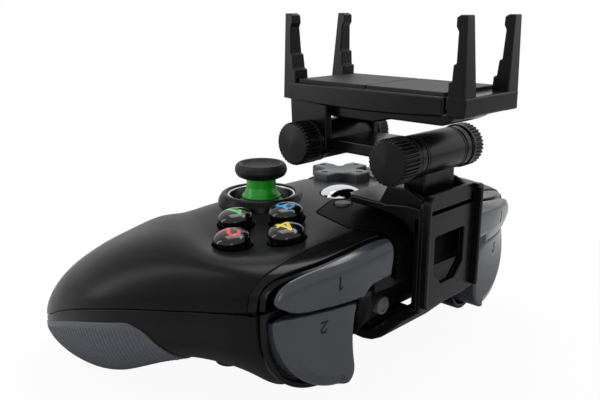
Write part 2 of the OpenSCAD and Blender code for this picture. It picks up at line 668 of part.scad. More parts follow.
module button_membrane() color("#55585c") {
  block([face_x - 14, -13, board_top_z], [face_x + 14, 13, board_top_z + 0.8]);
  intersection() {
    face_cluster() for (p = face_places)
      rod_z(2.6, -30, face_flange_z - flange_t - face_travel - 0.3, p.x, p.y);
    block([0, -30, board_top_z], [far_out, 30, face_z]);
  }
}
module main_board() color("#1f5a34") difference() {
  half = [[0, 3 - back_y], [26, 3 - back_y], [shoulder_x - 14, -25], [shoulder_x - 5.5, -14],
    [shoulder_x - 5, tub_back_y - 0.6], [21, tub_back_y - 0.6], [21, 26], [0, 26]];
  translate([0, 0, board_top_z - board_t]) linear_extrude(board_t)
    polygon(concat(half, [for (i = [len(half) - 2:-1:1]) [-half[i].x, half[i].y]]));
  for_screws() rod_z(boss_r + 0.4, -9, 9, 0, 0);
}
module battery_pack() color("#5b6570")
  block([-battery_half_w, battery_y[0], battery_z[0]], [battery_half_w, battery_y[1], battery_z[1]]);
module usb_socket() color(silver) difference() {
  z = board_top_z;
  block([-usb_half_w, 20.4, z], [usb_half_w, front_y - 5, z + usb_h]);
  block([-usb_half_w + 0.5, 22, z + 0.5], [usb_half_w - 0.5, far_front, z + usb_h - 0.5]);
}

// Clip.
plate_y = clamp_y + clamp_t + 0.5;
frame_front = plate_y + clamp_t;
flange_x = clamp_half_w + 0.3;
claw_z = [face_z + 1.8, face_z + 4];
claw_back_y = 8.8;
hook_z = -6;
hook_back_y = 10;
hook_floor_z = hook_z - 11.7;
hook_low_z = hook_floor_z - 3.3;
hook_front_y = clamp_y + clamp_t + 1.4;
// Hook from the side: its outer edge from the plate down and back, then its inner edge up again.
hook_profile = [[hook_front_y, hook_z], [34.2, -8.4], [30.4, -11.4], [26.8, -15], [23.2, -18.5],
  [19.8, hook_low_z + 0.6], [16.5, hook_low_z], [13, hook_low_z + 0.1], [10.8, hook_low_z + 0.8],
  [hook_back_y, hook_low_z + 2], [hook_back_y, hook_floor_z], [hook_back_y + 7.5, hook_floor_z],
  [20.2, -16.7], [23.2, -14.2], [26.6, -10.2], [29.6, -7.4], [32.6, -5.2], [clamp_y + 0.2, -2.5],
  [clamp_y + clamp_t - 0.2, -2.5], [clamp_y + clamp_t - 0.2, hook_z + 0.2]];
slot_x = clamp_half_w - 1.5;
slot_half = 0.95;
slot_z = [-1, 2 + clamp_travel + 6];
window_z = [0, 14.5];
border_w = 1.3;
side_t = 1.4;
frame_half_w = flange_x + side_t;
frame_round = 3;
frame_top_z = claw_z[1] + 4;
frame_low_z = hook_z + 0.4;
frame_side_z = 21;
knob_x = barrel_half_l + ear_t + 0.6;
ear_x = barrel_half_l + 0.3;
barrel_r = barrel_d / 2;
bolt_r = bolt_d / 2;

module pivot_low() at([0, pivot_low_y, pivot_low_z]) children();
module pivot_up() at([0, -pivot_up_y, pivot_up_z]) children();
module window(grow = 0) polygon([
  [-window_half_w - grow, window_z[1] + grow], [window_half_w + grow, window_z[1] + grow],
  [window_half_w + grow, window_z[0] + 4], [window_half_w - 4, window_z[0] - grow],
  [4 - window_half_w, window_z[0] - grow], [-window_half_w - grow, window_z[0] + 4]]);

claw_half_w = clamp_half_w + 0.7;
corner_steps = 6;
// Rounded upper corner of the frame seen from the front, and an arm beside the claw seen from the side.
function frame_corner(r) = [for (i = [0:corner_steps]) let (a = 90 * i / corner_steps)
  [frame_half_w - frame_round + r * cos(a), frame_top_z - frame_round + r * sin(a)]];
side_arm = [[24, claw_z[0]], [28, claw_z[0] - 0.2], [31, claw_z[0] - 1.3], [33, claw_z[0] - 2.8],
  [clamp_y, 15.6], [plate_y + 0.1, 15.6], [plate_y + 0.1, claw_z[1] + 1], [31, claw_z[1] + 1], [24, claw_z[1]]];

module clamp_frame() color(clip_black) difference() {
  union() {
    slab_y(plate_y, frame_front) difference() {
      polygon(concat([[-frame_half_w, frame_low_z], [frame_half_w, frame_low_z]], frame_corner(frame_round),
        [for (i = [corner_steps:-1:0]) let (p = frame_corner(frame_round)[i]) [-p.x, p.y]]));
      window();
    }
    both() block([flange_x, clamp_y, frame_low_z], [frame_half_w, plate_y + 0.1, frame_side_z]);
    both() slab_x(flange_x, frame_half_w) polygon(side_arm);
    both() slab_y(frame_front - 0.1, frame_front + border_h) polygon(concat(
      [[frame_half_w - border_w, frame_low_z + 0.6], [frame_half_w, frame_low_z + 1.5]],
      frame_corner(frame_round), [for (i = [corner_steps:-1:0]) frame_corner(frame_round - border_w)[i]]));
    translate([0, 0, claw_z[0]]) linear_extrude(claw_z[1] - claw_z[0]) polygon([
      [-8.5, claw_back_y], [8.5, claw_back_y], [clamp_half_w, claw_back_y + 2.2],
      [claw_half_w, claw_back_y + 9.6], [claw_half_w, frame_front], [-claw_half_w, frame_front],
      [-claw_half_w, claw_back_y + 9.6], [-clamp_half_w, claw_back_y + 2.2]]);
    block([-7.5, pivot_low_y - 3.5, claw_z[0]], [7.5, pivot_low_y + 3.5, pivot_low_z]);
    both() slab_x(clamp_half_w - 2, clamp_half_w) polygon([[20, claw_z[0]], [frame_front, claw_z[0]],
      [frame_front, claw_z[1] + 2], [31, claw_z[1] + 5], [24, claw_z[1] + 5]]);
    both() block([slot_x - slot_half + 0.2, clamp_y + 0.2, slot_z[0] + 0.5],
      [slot_x + slot_half - 0.2, plate_y + 0.2, slot_z[0] + 2]);
    pivot_low() rod_x(barrel_r, -barrel_half_l, barrel_half_l, 0, 0);
  }
  pivot_low() rod_x(bolt_r + fit, -60, 60, 0, 0);
}

module clamp_slider() color(clip_black) {
  slab_y(clamp_y, clamp_y + clamp_t) difference() {
    translate([-clamp_half_w, hook_z]) square([2 * clamp_half_w, claw_z[0] - 1 - hook_z]);
    window(0.8);
    for (s = [-1, 1]) translate([s * slot_x - slot_half, slot_z[0]])
      square([2 * slot_half, slot_z[1] - slot_z[0]]);
  }
  slab_x(-clamp_half_w, clamp_half_w) polygon(hook_profile);
}
module clamp_springs() color(steel) both()
  rod_z(slot_half - 0.2, slot_z[0] + 2, slot_z[1], slot_x, clamp_y + clamp_t / 2);
module upper_claw_pad() color("#3a3a3a")
  block([-6.5, claw_back_y + 2.2, face_z + 1], [6.5, claw_back_y + 12.7, claw_z[0]]);
module lower_claw_pad() color("#3a3a3a")
  block([3 - clamp_half_w, hook_back_y + 0.5, hook_floor_z], [clamp_half_w - 3, hook_back_y + 7, -belly_z - 0.6]);

link_t = 2.6;
link_bar_y = [pivot_low_y - barrel_r - 4.5, pivot_low_y - barrel_r - 0.8];
module link_arm() color(clip_black) difference() {
  union() {
    both() hull() {
      pivot_low() rod_x(barrel_r + 0.4, ear_x, ear_x + ear_t, 0, 0);
      block([ear_x, link_bar_y[0], pivot_up_z - link_t], [ear_x + ear_t, link_bar_y[0] + 1, pivot_up_z]);
    }
    block([-ear_x - ear_t, link_bar_y[0], pivot_up_z - link_t], [ear_x + ear_t, link_bar_y[1], pivot_up_z]);
    block([-barrel_half_l, -pivot_up_y, pivot_up_z - link_t], [barrel_half_l, link_bar_y[1], pivot_up_z]);
    pivot_up() rod_x(barrel_r, -barrel_half_l, barrel_half_l, 0, 0);
  }
  pivot_low() rod_x(bolt_r + fit, -60, 60, 0, 0);
  pivot_up() rod_x(bolt_r + fit, -60, 60, 0, 0);
}
module bolt() rod_x(bolt_r, -knob_x - knob_l + 2, knob_x + knob_l - 2, 0, 0);
module lower_pivot_bolt() color(steel) pivot_low() bolt();
module upper_pivot_bolt() color(steel) pivot_up() bolt();
module knob() difference() {
  union() {
    rod_x(knob_d / 2, knob_x, knob_x + knob_l, 0, 0);
    for (i = [0:knob_ribs - 1]) rotate([360 * i / knob_ribs, 0, 0])
      block([knob_x + 0.6, -0.5, 0], [knob_x + knob_l - 1.6, 0.5, knob_d / 2 + 0.5]);
  }
  rod_x(bolt_r + fit, 0, knob_x + knob_l - 1.8, 0, 0);
}
module lower_right_knob() color(clip_black) pivot_low() knob();
module lower_left_knob() color(clip_black) pivot_low() left() knob();
module upper_right_knob() color(clip_black) pivot_up() knob();
module upper_left_knob() color(clip_black) pivot_up() left() knob();

tray_top_z = tray_z + tray_h;
tray_front_y = cradle_front_y - prong_t - 1;
rod_x_at = cradle_half_w - 5.4;
rod_axis_z = tray_z + tray_h / 2;
spring_r = 1.6;
tray_bow = 1.1;
tray_steps = 12;
housing_half_w = 8.6;
housing_h = 2.2;
tooth = 1.1;
prong_top_w = 3.3;
prong_top_t = 2.6;
// Prong seen from the side: straight outside, stepped towards the phone.
module prong_side() {
  h = prong_top_z - tray_top_z;
  polygon([[0, -tray_h], [prong_t, -tray_h], [prong_t, 0.18 * h], [prong_t - 0.9, 0.2 * h],
    [prong_t - 1.1, 0.4 * h], [prong_t - 1.9, 0.42 * h], [prong_t - 2, 0.8 * h],
    [prong_top_t + tooth, 0.86 * h], [prong_top_t + tooth, h - 0.6], [prong_top_t, h], [0.7, h]]);
}
module prongs() both() intersection() {
  slab_x(0, cradle_half_w) prong_side();
  slab_y(-1, prong_t + 1) polygon([[cradle_half_w - prong_w, -tray_h], [cradle_half_w, -tray_h],
    [cradle_half_w - 0.2, prong_top_z - tray_top_z],
    [cradle_half_w - 0.2 - prong_top_w, prong_top_z - tray_top_z]]);
}
module cradle_tray() color(clip_black) difference() {
  union() {
    slab_x(-cradle_half_w, cradle_half_w) polygon(concat(
      [for (i = [0:tray_steps]) let (s = 2 * i / tray_steps - 1)
        [lerp(-cradle_back_y, tray_front_y, i / tray_steps), tray_z - tray_bow * (1 - s * s)]],
      [[tray_front_y, tray_top_z], [-cradle_back_y, tray_top_z]]));
    slab_x(-housing_half_w, housing_half_w) polygon([[-1, tray_z + 1], [1, tray_z - housing_h],
      [tray_front_y - 3, tray_z - housing_h], [tray_front_y, tray_z - housing_h + 1], [tray_front_y, tray_z + 1]]);
    translate([0, -cradle_back_y, tray_top_z]) prongs();
    both() {
      pivot_up() rod_x(barrel_r + 0.6, ear_x, ear_x + ear_t, 0, 0);
      block([ear_x, -pivot_up_y - barrel_r - 0.6, pivot_up_z],
        [ear_x + ear_t, barrel_r + 0.6 - pivot_up_y, tray_z + 1]);
    }
  }
  both() rod_y(rod_d / 2 + fit, prong_t - cradle_back_y, far_front, rod_x_at, rod_axis_z);
  rod_y(spring_r + 0.3, prong_t - cradle_back_y, far_front, 0, rod_axis_z);
  pivot_up() rod_x(bolt_r + fit, -60, 60, 0, 0);
}
module cradle_cover() color("#2a2a2a")
  block([0.8 - cradle_half_w, prong_t + 0.4 - cradle_back_y, tray_top_z],
    [cradle_half_w - 0.8, tray_front_y - 0.3, tray_top_z + cover_t]);
module front_jaw() color(clip_black) difference() {
  union() {
    block([-cradle_half_w, tray_front_y + 0.4, tray_z], [cradle_half_w, cradle_front_y, tray_top_z]);
    translate([0, cradle_front_y, tray_top_z]) mirror([0, 1, 0]) prongs();
  }
  both() rod_y(rod_d / 2 + fit, 0, cradle_front_y - 1.5, rod_x_at, rod_axis_z);
}
module jaw_rods() color(steel) both()
  rod_y(rod_d / 2, prong_t - cradle_back_y + 3, cradle_front_y - 1.6, rod_x_at, rod_axis_z);
module jaw_spring() color(steel)
  rod_y(spring_r, prong_t - cradle_back_y, tray_front_y + 0.4, 0, rod_axis_z);

// Lift on to z = 0 and centre the plan on the origin.
low_points = [for (t = along(0.5, 0.98, 40)) for (j = [0:12]) body_point(t, lerp(-50, 50, j / 12), false, -pad_t)];
floor_z = min([for (p = low_points) p.z]) - seam_gap;
tip_points = [for (t = along(0.8, 0.9985, 40)) for (top = [true, false]) body_point(t, -90, top).y];
middle_y = (min(tip_points) + cradle_front_y) / 2;
module stand() translate([0, -middle_y, -floor_z]) children();

stand() top_shell();
stand() bottom_shell();
stand() front_bridge();
stand() right_grip_pad();
stand() left_grip_pad();
stand() right_trigger_frame();
stand() left_trigger_frame();
stand() shell_screws();
stand() right_bumper();
stand() left_bumper();
stand() right_trigger();
stand() left_trigger();
stand() trigger_pins();
stand() trigger_springs();
stand() stick_rings();
stand() stick_housing(stick_at[0]);  // right_stick_housing
stand() stick_housing(stick_at[1]);  // left_stick_housing
stand() stick_yoke(stick_at[0]);  // right_stick_yoke
stand() stick_yoke(stick_at[1]);  // left_stick_yoke
stand() stick_rocker(stick_at[0]);  // right_stick_rocker
stand() stick_rocker(stick_at[1]);  // left_stick_rocker
stand() stick_stem(stick_at[0]);  // right_stick_stem
stand() stick_stem(stick_at[1]);  // left_stick_stem
stand() stick_cap(stick_at[0]);  // right_stick_cap
stand() stick_cap(stick_at[1]);  // left_stick_cap
stand() face_button(0);  // near_face_button
stand() face_button(1);  // right_face_button
stand() face_button(2);  // left_face_button
stand() face_button(3);  // far_face_button
stand() direction_pad();
stand() direction_pad_pin();
stand() home_button();
stand() menu_button();
stand() view_button();
stand() pairing_button();
stand() right_rear_button();
stand() left_rear_button();
stand() button_membrane();
stand() main_board();
stand() battery_pack();
stand() usb_socket();
stand() clamp_frame();
stand() clamp_slider();
stand() clamp_springs();
stand() upper_claw_pad();
stand() lower_claw_pad();
stand() link_arm();
stand() lower_pivot_bolt();
stand() upper_pivot_bolt();
stand() lower_right_knob();
stand() lower_left_knob();
stand() upper_right_knob();
stand() upper_left_knob();
stand() cradle_tray();
stand() cradle_cover();
stand() front_jaw();
stand() jaw_rods();
stand() jaw_spring();
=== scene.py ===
"""Looks of a game pad with a clamp-on phone clip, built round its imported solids.

Lengths in the functions are millimetres of the pad's own frame: X to the player's right, Y forward,
Z up, zero on the face-button line at seam level. put() moves them to the model's frame, in metres.
"""
import math

import bpy
import numpy as np
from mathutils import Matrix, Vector
from mathutils.geometry import tessellate_polygon


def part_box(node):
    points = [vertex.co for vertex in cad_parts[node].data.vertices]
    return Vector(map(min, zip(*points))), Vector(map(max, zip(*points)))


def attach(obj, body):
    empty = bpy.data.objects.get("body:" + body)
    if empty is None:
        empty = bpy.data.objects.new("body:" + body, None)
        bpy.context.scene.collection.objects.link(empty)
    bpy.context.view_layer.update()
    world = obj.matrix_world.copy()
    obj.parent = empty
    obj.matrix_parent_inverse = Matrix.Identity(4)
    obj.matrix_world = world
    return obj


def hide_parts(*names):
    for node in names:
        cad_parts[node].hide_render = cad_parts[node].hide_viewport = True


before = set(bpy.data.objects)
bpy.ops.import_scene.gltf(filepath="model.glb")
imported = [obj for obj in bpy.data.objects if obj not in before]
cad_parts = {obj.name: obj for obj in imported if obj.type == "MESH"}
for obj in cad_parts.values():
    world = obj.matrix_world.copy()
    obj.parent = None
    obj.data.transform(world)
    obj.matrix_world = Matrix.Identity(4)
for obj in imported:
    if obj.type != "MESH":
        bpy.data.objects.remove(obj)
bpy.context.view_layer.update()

bl_info = {
    "name": "Game pad with phone clip",
    "version": (1, 0, 0),
    "blender": (4, 5, 0),
    "location": "3D View > Sidebar > Game pad",
    "description": "Builds the shells, controls and phone clip of a game pad round its solids",
    "category": "Add Mesh",
}

MM = 0.001
FAR = 90.0
TINY = 1e-9
HOME_TOP, HOME_Y, HOME_R = 20.6, -2.8, 6.5
home_low, home_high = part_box("home_button")
LIFT = np.array([0.0, (home_low.y + home_high.y) / 2 / MM - HOME_Y, home_high.z / MM - HOME_TOP])

# Stations of the body from its middle (0) to a grip tip (1): place, centre x and y, half span x and
# y, seam height inside and outside, crown, belly, fullness inside and outside, squareness outside,
# tilt of the crown, setback and fullness of the lower half.
STATION = np.array([
    [0, 0, -1.2, 0, 34.8, 3, 5, 18.6, -16, 5, 9, 6, 0, 4.5, 3.4],
    [0.17, 20, -1.0, 2, 35.4, 3, 5, 18, -16.5, 5, 9, 6, -0.5, 4.5, 3.6],
    [0.3, 35, -4, 7, 35.4, 2.5, 5, 16.6, -17.5, 4.6, 7, 4.5, -1.2, -3, 4.6],
    [0.41, 46, -9.7, 12, 33.4, 1, 4.5, 16, -19, 4, 4.2, 3, -1, -1, 2.9],
    [0.54, 52.5, -22.5, 13.8, 27, -2.6, 1.6, 15.5, -21, 3, 2.6, 2.2, -0.5, 0, 2.4],
    [0.7, 58.3, -39, 16.4, 18.6, -7, -3, 10, -31.3, 2.4, 2.2, 2, 0, 0, 2.3],
    [0.85, 62, -54, 17, 13.5, -12.4, -9.4, 3, -36, 2.1, 2.1, 2, 0, 0, 2.2],
    [1, 66, -68.5, 16, 9, -20.5, -20, -5, -36, 2, 2, 2, 0, 0, 2.2]])
TIP_POWER, INNER_SQUARE, LOWER_SQUARE = 6.5, 2.3, 2.2
SEAM_GAP = 0.3
BODY_ROWS = 321
# Round places of the skin as x, y, radius and height: the hollows round the left stick and the face
# buttons, a second hollow on the right, and the swellings of the lower half round the triggers.
DISH = (37.8, 0.0, 15.0, 1.9)
DIP = (49.0, 2.0, 8.0, 1.6)
BULGE = (48.0, 19.0, 6.0, 6.0)

BUMPER_IN, BUMPER_Z, BUMPER_GAP, BUMPER_DROP = 21.3, 4.8, 1.6, 2.6
BUMPER_EDGE = np.array([[21.3, 31.6], [27, 30], [40, 29], [50, 26], [57, 24.6], [62, 22.6]])
BAND_EDGE = np.array([[18.2, 23.4], [28, 22.1], [36.8, 20.7], [44.4, 20.9], [50.9, 21.6], [54.8, 21.7],
                      [57.3, 21.1], [59.9, 20.1], [62, 19.5]])
BRIDGE_EDGE = [[0, 0.5], [8, 0.5], [19, 4], [24.5, 21], [20.7, 29.8], [20.7, FAR]]
# The bottom shell is open for the triggers beyond this x and y.
BAY_X, BAY_Y = 27.9, 21.4
TUB = {"in": 31.0, "out": 55.2, "top": 0.6, "low": -21.2,
       "front": 22.4, "back": 15.0, "gap": 1.5, "wall": 1.6}
STICKS = {"right": (18.2, -20.1), "left": (-37.8, 0.0)}
STICK_PIVOT, STICK_HOLE = 7.5, 11.6
CROSS_AT, CROSS_TOP, CROSS_FLOOR, CROSS_DISH = (-21.3, -21.3), 20.0, 14.7, 12.85
FACE_AT, FACE_LEAN = np.array([37.8, 0.0, 18.0]), math.radians(8.5)
FACE_PITCH, FACE_R, FACE_RISE = 10.3, 5.0, 1.1
FACE_PLACES = {"near": (0, -1), "right": (1, 0), "left": (-1, 0), "far": (0, 1)}
BUTTON_GAP, PANEL_GAP = 0.3, 0.15
SMALL_AT, SMALL_R, PAIRING_AT = (9.5, 6.1), 2.5, (19.4, -4.0)
REAR_AT, REAR_HALF, REAR_R = (44.0, -1.0), 5.0, 4.0
SCREWS, SCREW_R = ((40.0, -36.0), (57.5, -9.0)), 2.6
USB_HALF, USB_LOW = 4.2, 1.1
PIVOT_LOW, PIVOT_UP = (29.5, 35.9), (-4.6, 36.4)
INK_LIFT = 0.03


def length(name, words, default, low, high):
    """A length property, in millimetres."""
    return bpy.props.FloatProperty(name=name, description=words, default=default, min=low, max=high)


def linear(code):
    """Linear red, green and blue of an sRGB hex colour."""
    c = np.array([int(code[i:i + 2], 16) for i in (1, 3, 5)]) / 255
    return tuple(float(v) for v in np.where(c <= 0.04045, c / 12.92, ((c + 0.055) / 1.055) ** 2.4))


def colour(name, words, code):
    """A colour property with an sRGB hex default."""
    return bpy.props.FloatVectorProperty(
        name=name, description=words, subtype="COLOR", size=3, min=0, max=1, default=linear(code))


class PadSizes(bpy.types.PropertyGroup):
    """Sizes of the small forms that only the looks have, in millimetres."""
    edge: length("Edge round", "Round of the shells' edges", 0.4, 0.1, 1.0)
    band_step: length("Band step", "Depth of the bay band below the shell", 0.35, 0.1, 0.8)
    bumper_round: length("Bumper round", "Round of the bumpers' edges", 0.9, 0.3, 1.4)
    trigger_round: length("Trigger round", "Round of the triggers' edges", 1.0, 0.6, 3.0)
    mark: length("Mark height", "Height of the numerals on the face buttons", 5.2, 3.0, 6.5)
    border_round: length("Border round", "Round of the clamp frame's border", 0.45, 0.1, 0.6)


class PadColours(bpy.types.PropertyGroup):
    """Colours of the pad and its clip."""
    shell: colour("Shell", "Satin ABS of the two shells", "#0d0d0e")
    gloss: colour("Gloss", "Polished ABS of the bay bands and trigger frames", "#0b0b0c")
    slate: colour("Slate", "Bumpers and triggers", "#3a3e44")
    grip: colour("Grip", "Grip pads", "#4a4d53")
    stem: colour("Stem", "Stick stems", "#1aa816")
    clip: colour("Clip", "Nylon of the phone clip", "#0e0e0f")


def sizes():
    return bpy.context.scene.pad_sizes


def opaque(rgb):
    """Colour with an alpha of one."""
    return (*rgb, 1.0)


def circle(a):
    """Points of a circle of radius one at angles a."""
    return np.stack([np.cos(a), np.sin(a)], -1)


def grid_tris(nu, nv, wrap_u=False, wrap_v=False):
    """Triangles of a grid of nu rows of nv points, closed on itself where wrap says so."""
    rows, columns = np.arange(nu if wrap_u else nu - 1), np.arange(nv if wrap_v else nv - 1)
    i, j = np.meshgrid(rows, columns, indexing="ij")
    a, b = i * nv + j, (i + 1) % nu * nv + j
    c, d = (i + 1) % nu * nv + (j + 1) % nv, i * nv + (j + 1) % nv
    return np.concatenate([np.stack([a, b, c], -1).reshape(-1, 3), np.stack([a, c, d], -1).reshape(-1, 3)])


def unit(v):
    """Vectors of length one along the last axis."""
    return v / np.maximum(np.linalg.norm(v, axis=-1, keepdims=True), 1e-12)


def slopes(co, axis, wrap):
    """Differences between the neighbours of each grid point along one axis."""
    if wrap:
        return np.roll(co, -1, axis) - np.roll(co, 1, axis)
    return np.gradient(co, axis=axis)


def surface(co, wrap_u=False, wrap_v=False, flip=False):
    """Part from a grid of points: its normals are the cross product of the two grid directions."""
    nrm = np.cross(slopes(co, 0, wrap_u), slopes(co, 1, wrap_v)) * (-1 if flip else 1)
    tri = grid_tris(*co.shape[:2], wrap_u, wrap_v)[:, ::-1 if flip else 1]
    weak = np.linalg.norm(nrm, axis=-1) < TINY
    nrm = unit(nrm)
    for row, near in ((0, 1), (-1, -2)):
        nrm[row] = np.where(weak[row][:, None], nrm[near], nrm[row])
        nrm[:, row] = np.where(weak[:, row][:, None], nrm[:, near], nrm[:, row])
    return co.reshape(-1, 3), nrm.reshape(-1, 3), tri


def cut(part, field):
    """Keeps the share of a part where field is below zero. An edge that crosses zero gets a new point
    at the crossing, and each crossed triangle becomes one or two."""
    co, nrm, tri = part
    inside = field < 0
    count = inside[tri].sum(1)
    odd = np.where((count == 1)[:, None], inside[tri], ~inside[tri])
    crossed = (count == 1) | (count == 2)
    t = tri[crossed]
    turn = (np.argmax(odd[crossed], 1)[:, None] + np.arange(3)) % 3
    t = np.take_along_axis(t, turn, 1)
    ends = np.sort(np.concatenate([t[:, [0, 1]], t[:, [0, 2]]]), 1)
    keys, back = np.unique(ends[:, 0] * len(co) + ends[:, 1], return_inverse=True)
    a, b = keys // len(co), keys % len(co)
    s = (field[a] / (field[a] - field[b]))[:, None]
    new = len(co) + back.reshape(2, -1)
    one = count[crossed] == 1
    tris = [tri[count == 3],
            np.stack([t[one, 0], new[0, one], new[1, one]], 1),
            np.stack([new[0, ~one], t[~one, 1], t[~one, 2]], 1),
            np.stack([new[0, ~one], t[~one, 2], new[1, ~one]], 1)]
    co = np.concatenate([co, co[a] + s * (co[b] - co[a])])
    nrm = np.concatenate([nrm, unit(nrm[a] + s * (nrm[b] - nrm[a]))])
    tri = np.concatenate(tris)
    used, tri = np.unique(tri, return_inverse=True)
    return co[used], nrm[used], tri.reshape(-1, 3)


def rim(part, r, depth, into=None, steps=4, keep=(1, 1, 1)):
    """Rolls every free edge of a part over a quarter circle of radius r, then carries it in as a wall.
    A ring at angle s is p + out r sin s + into r (1 - cos s). r may be a function of the points. Without
    into, the wall goes against the normals, of which keep says the axes that count."""
    co, nrm, tri = part
    size = np.linalg.norm(np.cross(co[tri[:, 1]] - co[tri[:, 0]], co[tri[:, 2]] - co[tri[:, 0]]), axis=1)
    tri = tri[size > TINY]
    edge = np.concatenate([tri[:, [0, 1]], tri[:, [1, 2]], tri[:, [2, 0]]])
    key = np.sort(edge, 1)
    _, back, count = np.unique(key[:, 0] * len(co) + key[:, 1], return_inverse=True, return_counts=True)
    edge = edge[count[back.ravel()] == 1]
    spot, e = np.unique(edge, return_inverse=True)
    e = e.reshape(-1, 2)
    run = co[spot[e[:, 1]]] - co[spot[e[:, 0]]]
    out = np.zeros((len(spot), 3))
    for k in (0, 1):
        np.add.at(out, e[:, k], np.cross(run, nrm[spot[e[:, k]]]))
    n = nrm[spot]
    r = r(co[spot])[:, None] if callable(r) else r
    inward = unit(-n * keep) if into is None else np.broadcast_to(np.asarray(into, float), n.shape)
    out = unit(out - inward * np.sum(out * inward, 1, keepdims=True))
    angle = np.linspace(0, math.pi / 2, steps + 1)[:, None, None]
    rings = co[spot] + out * r * np.sin(angle) + inward * r * (1 - np.cos(angle))
    turns = unit(n * np.cos(angle) + out * np.sin(angle))
    rings = np.concatenate([rings, rings[-1:] + inward * np.maximum(depth - r, 0.01)])
    turns = np.concatenate([turns, out[None]])
    m = len(spot)
    k = np.arange(len(rings) - 1)[:, None] * m
    a, b = k + e[:, 0], k + e[:, 1]
    quads = np.concatenate([np.stack([b, a, a + m], -1).reshape(-1, 3),
                            np.stack([b, a + m, b + m], -1).reshape(-1, 3)])
    return rings.reshape(-1, 3), turns.reshape(-1, 3), quads


def fillet(points, radii, closed=True, steps=5):
    """Points and normals of a path with rounded corners, turning right of its run outwards. A corner
    of radius 0 stays sharp and gives two points with the normals of its two sides."""
    p = np.asarray(points, float)
    n = len(p)
    radii = np.broadcast_to(np.asarray(radii, float), n)
    pts, nrm = [], []
    for i in range(n):
        before, after = p[i] - p[i - 1], p[(i + 1) % n] - p[i]
        if not closed and i == 0:
            before = after
        if not closed and i == n - 1:
            after = before
        d0, d1 = unit(before), unit(after)
        n0, n1 = np.array([d0[1], -d0[0]]), np.array([d1[1], -d1[0]])
        bend = math.atan2(d0[0] * d1[1] - d0[1] * d1[0], float(d0 @ d1))
        arc, turned = np.stack([p[i], p[i]]), np.stack([n0, n1])
        if abs(bend) < 1e-4:
            arc, turned = arc[1:], turned[1:]
        elif radii[i] > 0:
            slope = math.tan(abs(bend) / 2)
            back = min(radii[i] * slope, 0.49 * np.linalg.norm(before), 0.49 * np.linalg.norm(after))
            reach = math.copysign(back / slope, bend)
            turn = np.linspace(0, bend, steps + 1)[:, None]
            turned = np.cos(turn) * n0 + np.sin(turn) * np.array([-n0[1], n0[0]])
            arc = p[i] - d0 * back - n0 * reach + turned * reach
        pts.append(arc)
        nrm.append(turned)
    return np.concatenate(pts), np.concatenate(nrm)


AXES = {"x": (1, 2, 0), "y": (0, 2, 1), "z": (0, 1, 2)}


def placed(uv, w, axis):
    """Points from flat coordinates uv and a height w along an axis: x takes y and z, y takes x and z."""
    out = np.empty(uv.shape[:-1] + (3,))
    i, j, k = AXES[axis]
    out[..., i], out[..., j], out[..., k] = uv[..., 0], uv[..., 1], w
    return out


def prism(outline, low, high, axis, r, corner=0.6, holes=(), steps=4):
    """Plate between two heights along an axis: each outline, with rounded corners, is carried over a
    quarter round at both ends, and flat caps close it. Outlines run anticlockwise, holes clockwise."""
    hole_corner = 0.8
    q = np.linspace(0, math.pi / 2, steps + 1)
    inset = r * np.concatenate([1 - np.sin(q), 1 - np.cos(q)])[:, None, None]
    height = np.concatenate([low + r * (1 - np.cos(q)), high - r * (1 - np.sin(q))])[:, None]
    across = np.concatenate([np.sin(q), np.cos(q)])[:, None, None]
    up = np.concatenate([-np.cos(q), np.sin(q)])[:, None]
    parts, loops = [], []
    for points, radius in [(outline, corner)] + [(hole, hole_corner) for hole in holes]:
        p, n = fillet(points, radius)
        co, nrm = placed(p - n * inset, height, axis), placed(n * across, up, axis)
        parts.append((co.reshape(-1, 3), nrm.reshape(-1, 3), grid_tris(len(co), len(p), False, True)))
        loops.append(p - n * r)
    flat = np.concatenate(loops)
    tri = np.array(tessellate_polygon([[Vector((*v, 0)) for v in loop] for loop in loops]))
    parts += [(placed(flat, w, axis), placed(0 * flat, up, axis), tri) for w, up in ((low, -1), (high, 1))]
    return join(*parts)


def block(low, high, r, axis="z"):
    """Box between two corners with rounded edges, drawn as a prism along an axis."""
    i, j, k = AXES[axis]
    ring = [(low[i], low[j]), (high[i], low[j]), (high[i], high[j]), (low[i], high[j])]
    return prism(ring, low[k], high[k], axis, r)


def two_sided(half):
    """Closed outline from its right half, which runs anticlockwise."""
    half = np.array(half, float)
    return np.concatenate([half, half[::-1] * [-1, 1]])


def lathe(profile, centre, axis="z", turns=72, steps=5):
    """Profile turned once round an axis through centre. Its rows are a radius, a height and the round of
    that corner, and it runs upwards on the outside."""
    profile = np.asarray(profile, float)
    p, n = fillet(profile[:, :2], profile[:, 2], closed=False, steps=steps)
    ring = circle(np.linspace(0, 2 * math.pi, turns, endpoint=False))
    co = placed(p[:, None, :1] * ring, p[:, 1:], axis) + np.asarray(centre, float)
    nrm = placed(n[:, None, :1] * ring, n[:, 1:], axis)
    return co.reshape(-1, 3), nrm.reshape(-1, 3), grid_tris(len(p), turns, False, True)


def join(*parts):
    """One part from several."""
    shift = np.cumsum([0] + [len(p[0]) for p in parts[:-1]])
    return (np.concatenate([p[0] for p in parts]), np.concatenate([p[1] for p in parts]),
            np.concatenate([p[2] + s for p, s in zip(parts, shift)]))


def mirrored(part):
    """The part on the other side of the pad's middle plane."""
    flip = np.array([-1.0, 1.0, 1.0])
    return part[0] * flip, part[1] * flip, part[2]


def both(part):
    """A part and its mirror image."""
    return join(part, mirrored(part))


def linked(name, data):
    """Object of that name in the scene."""
    obj = bpy.data.objects.new(name, data)
    bpy.context.scene.collection.objects.link(obj)
    return obj


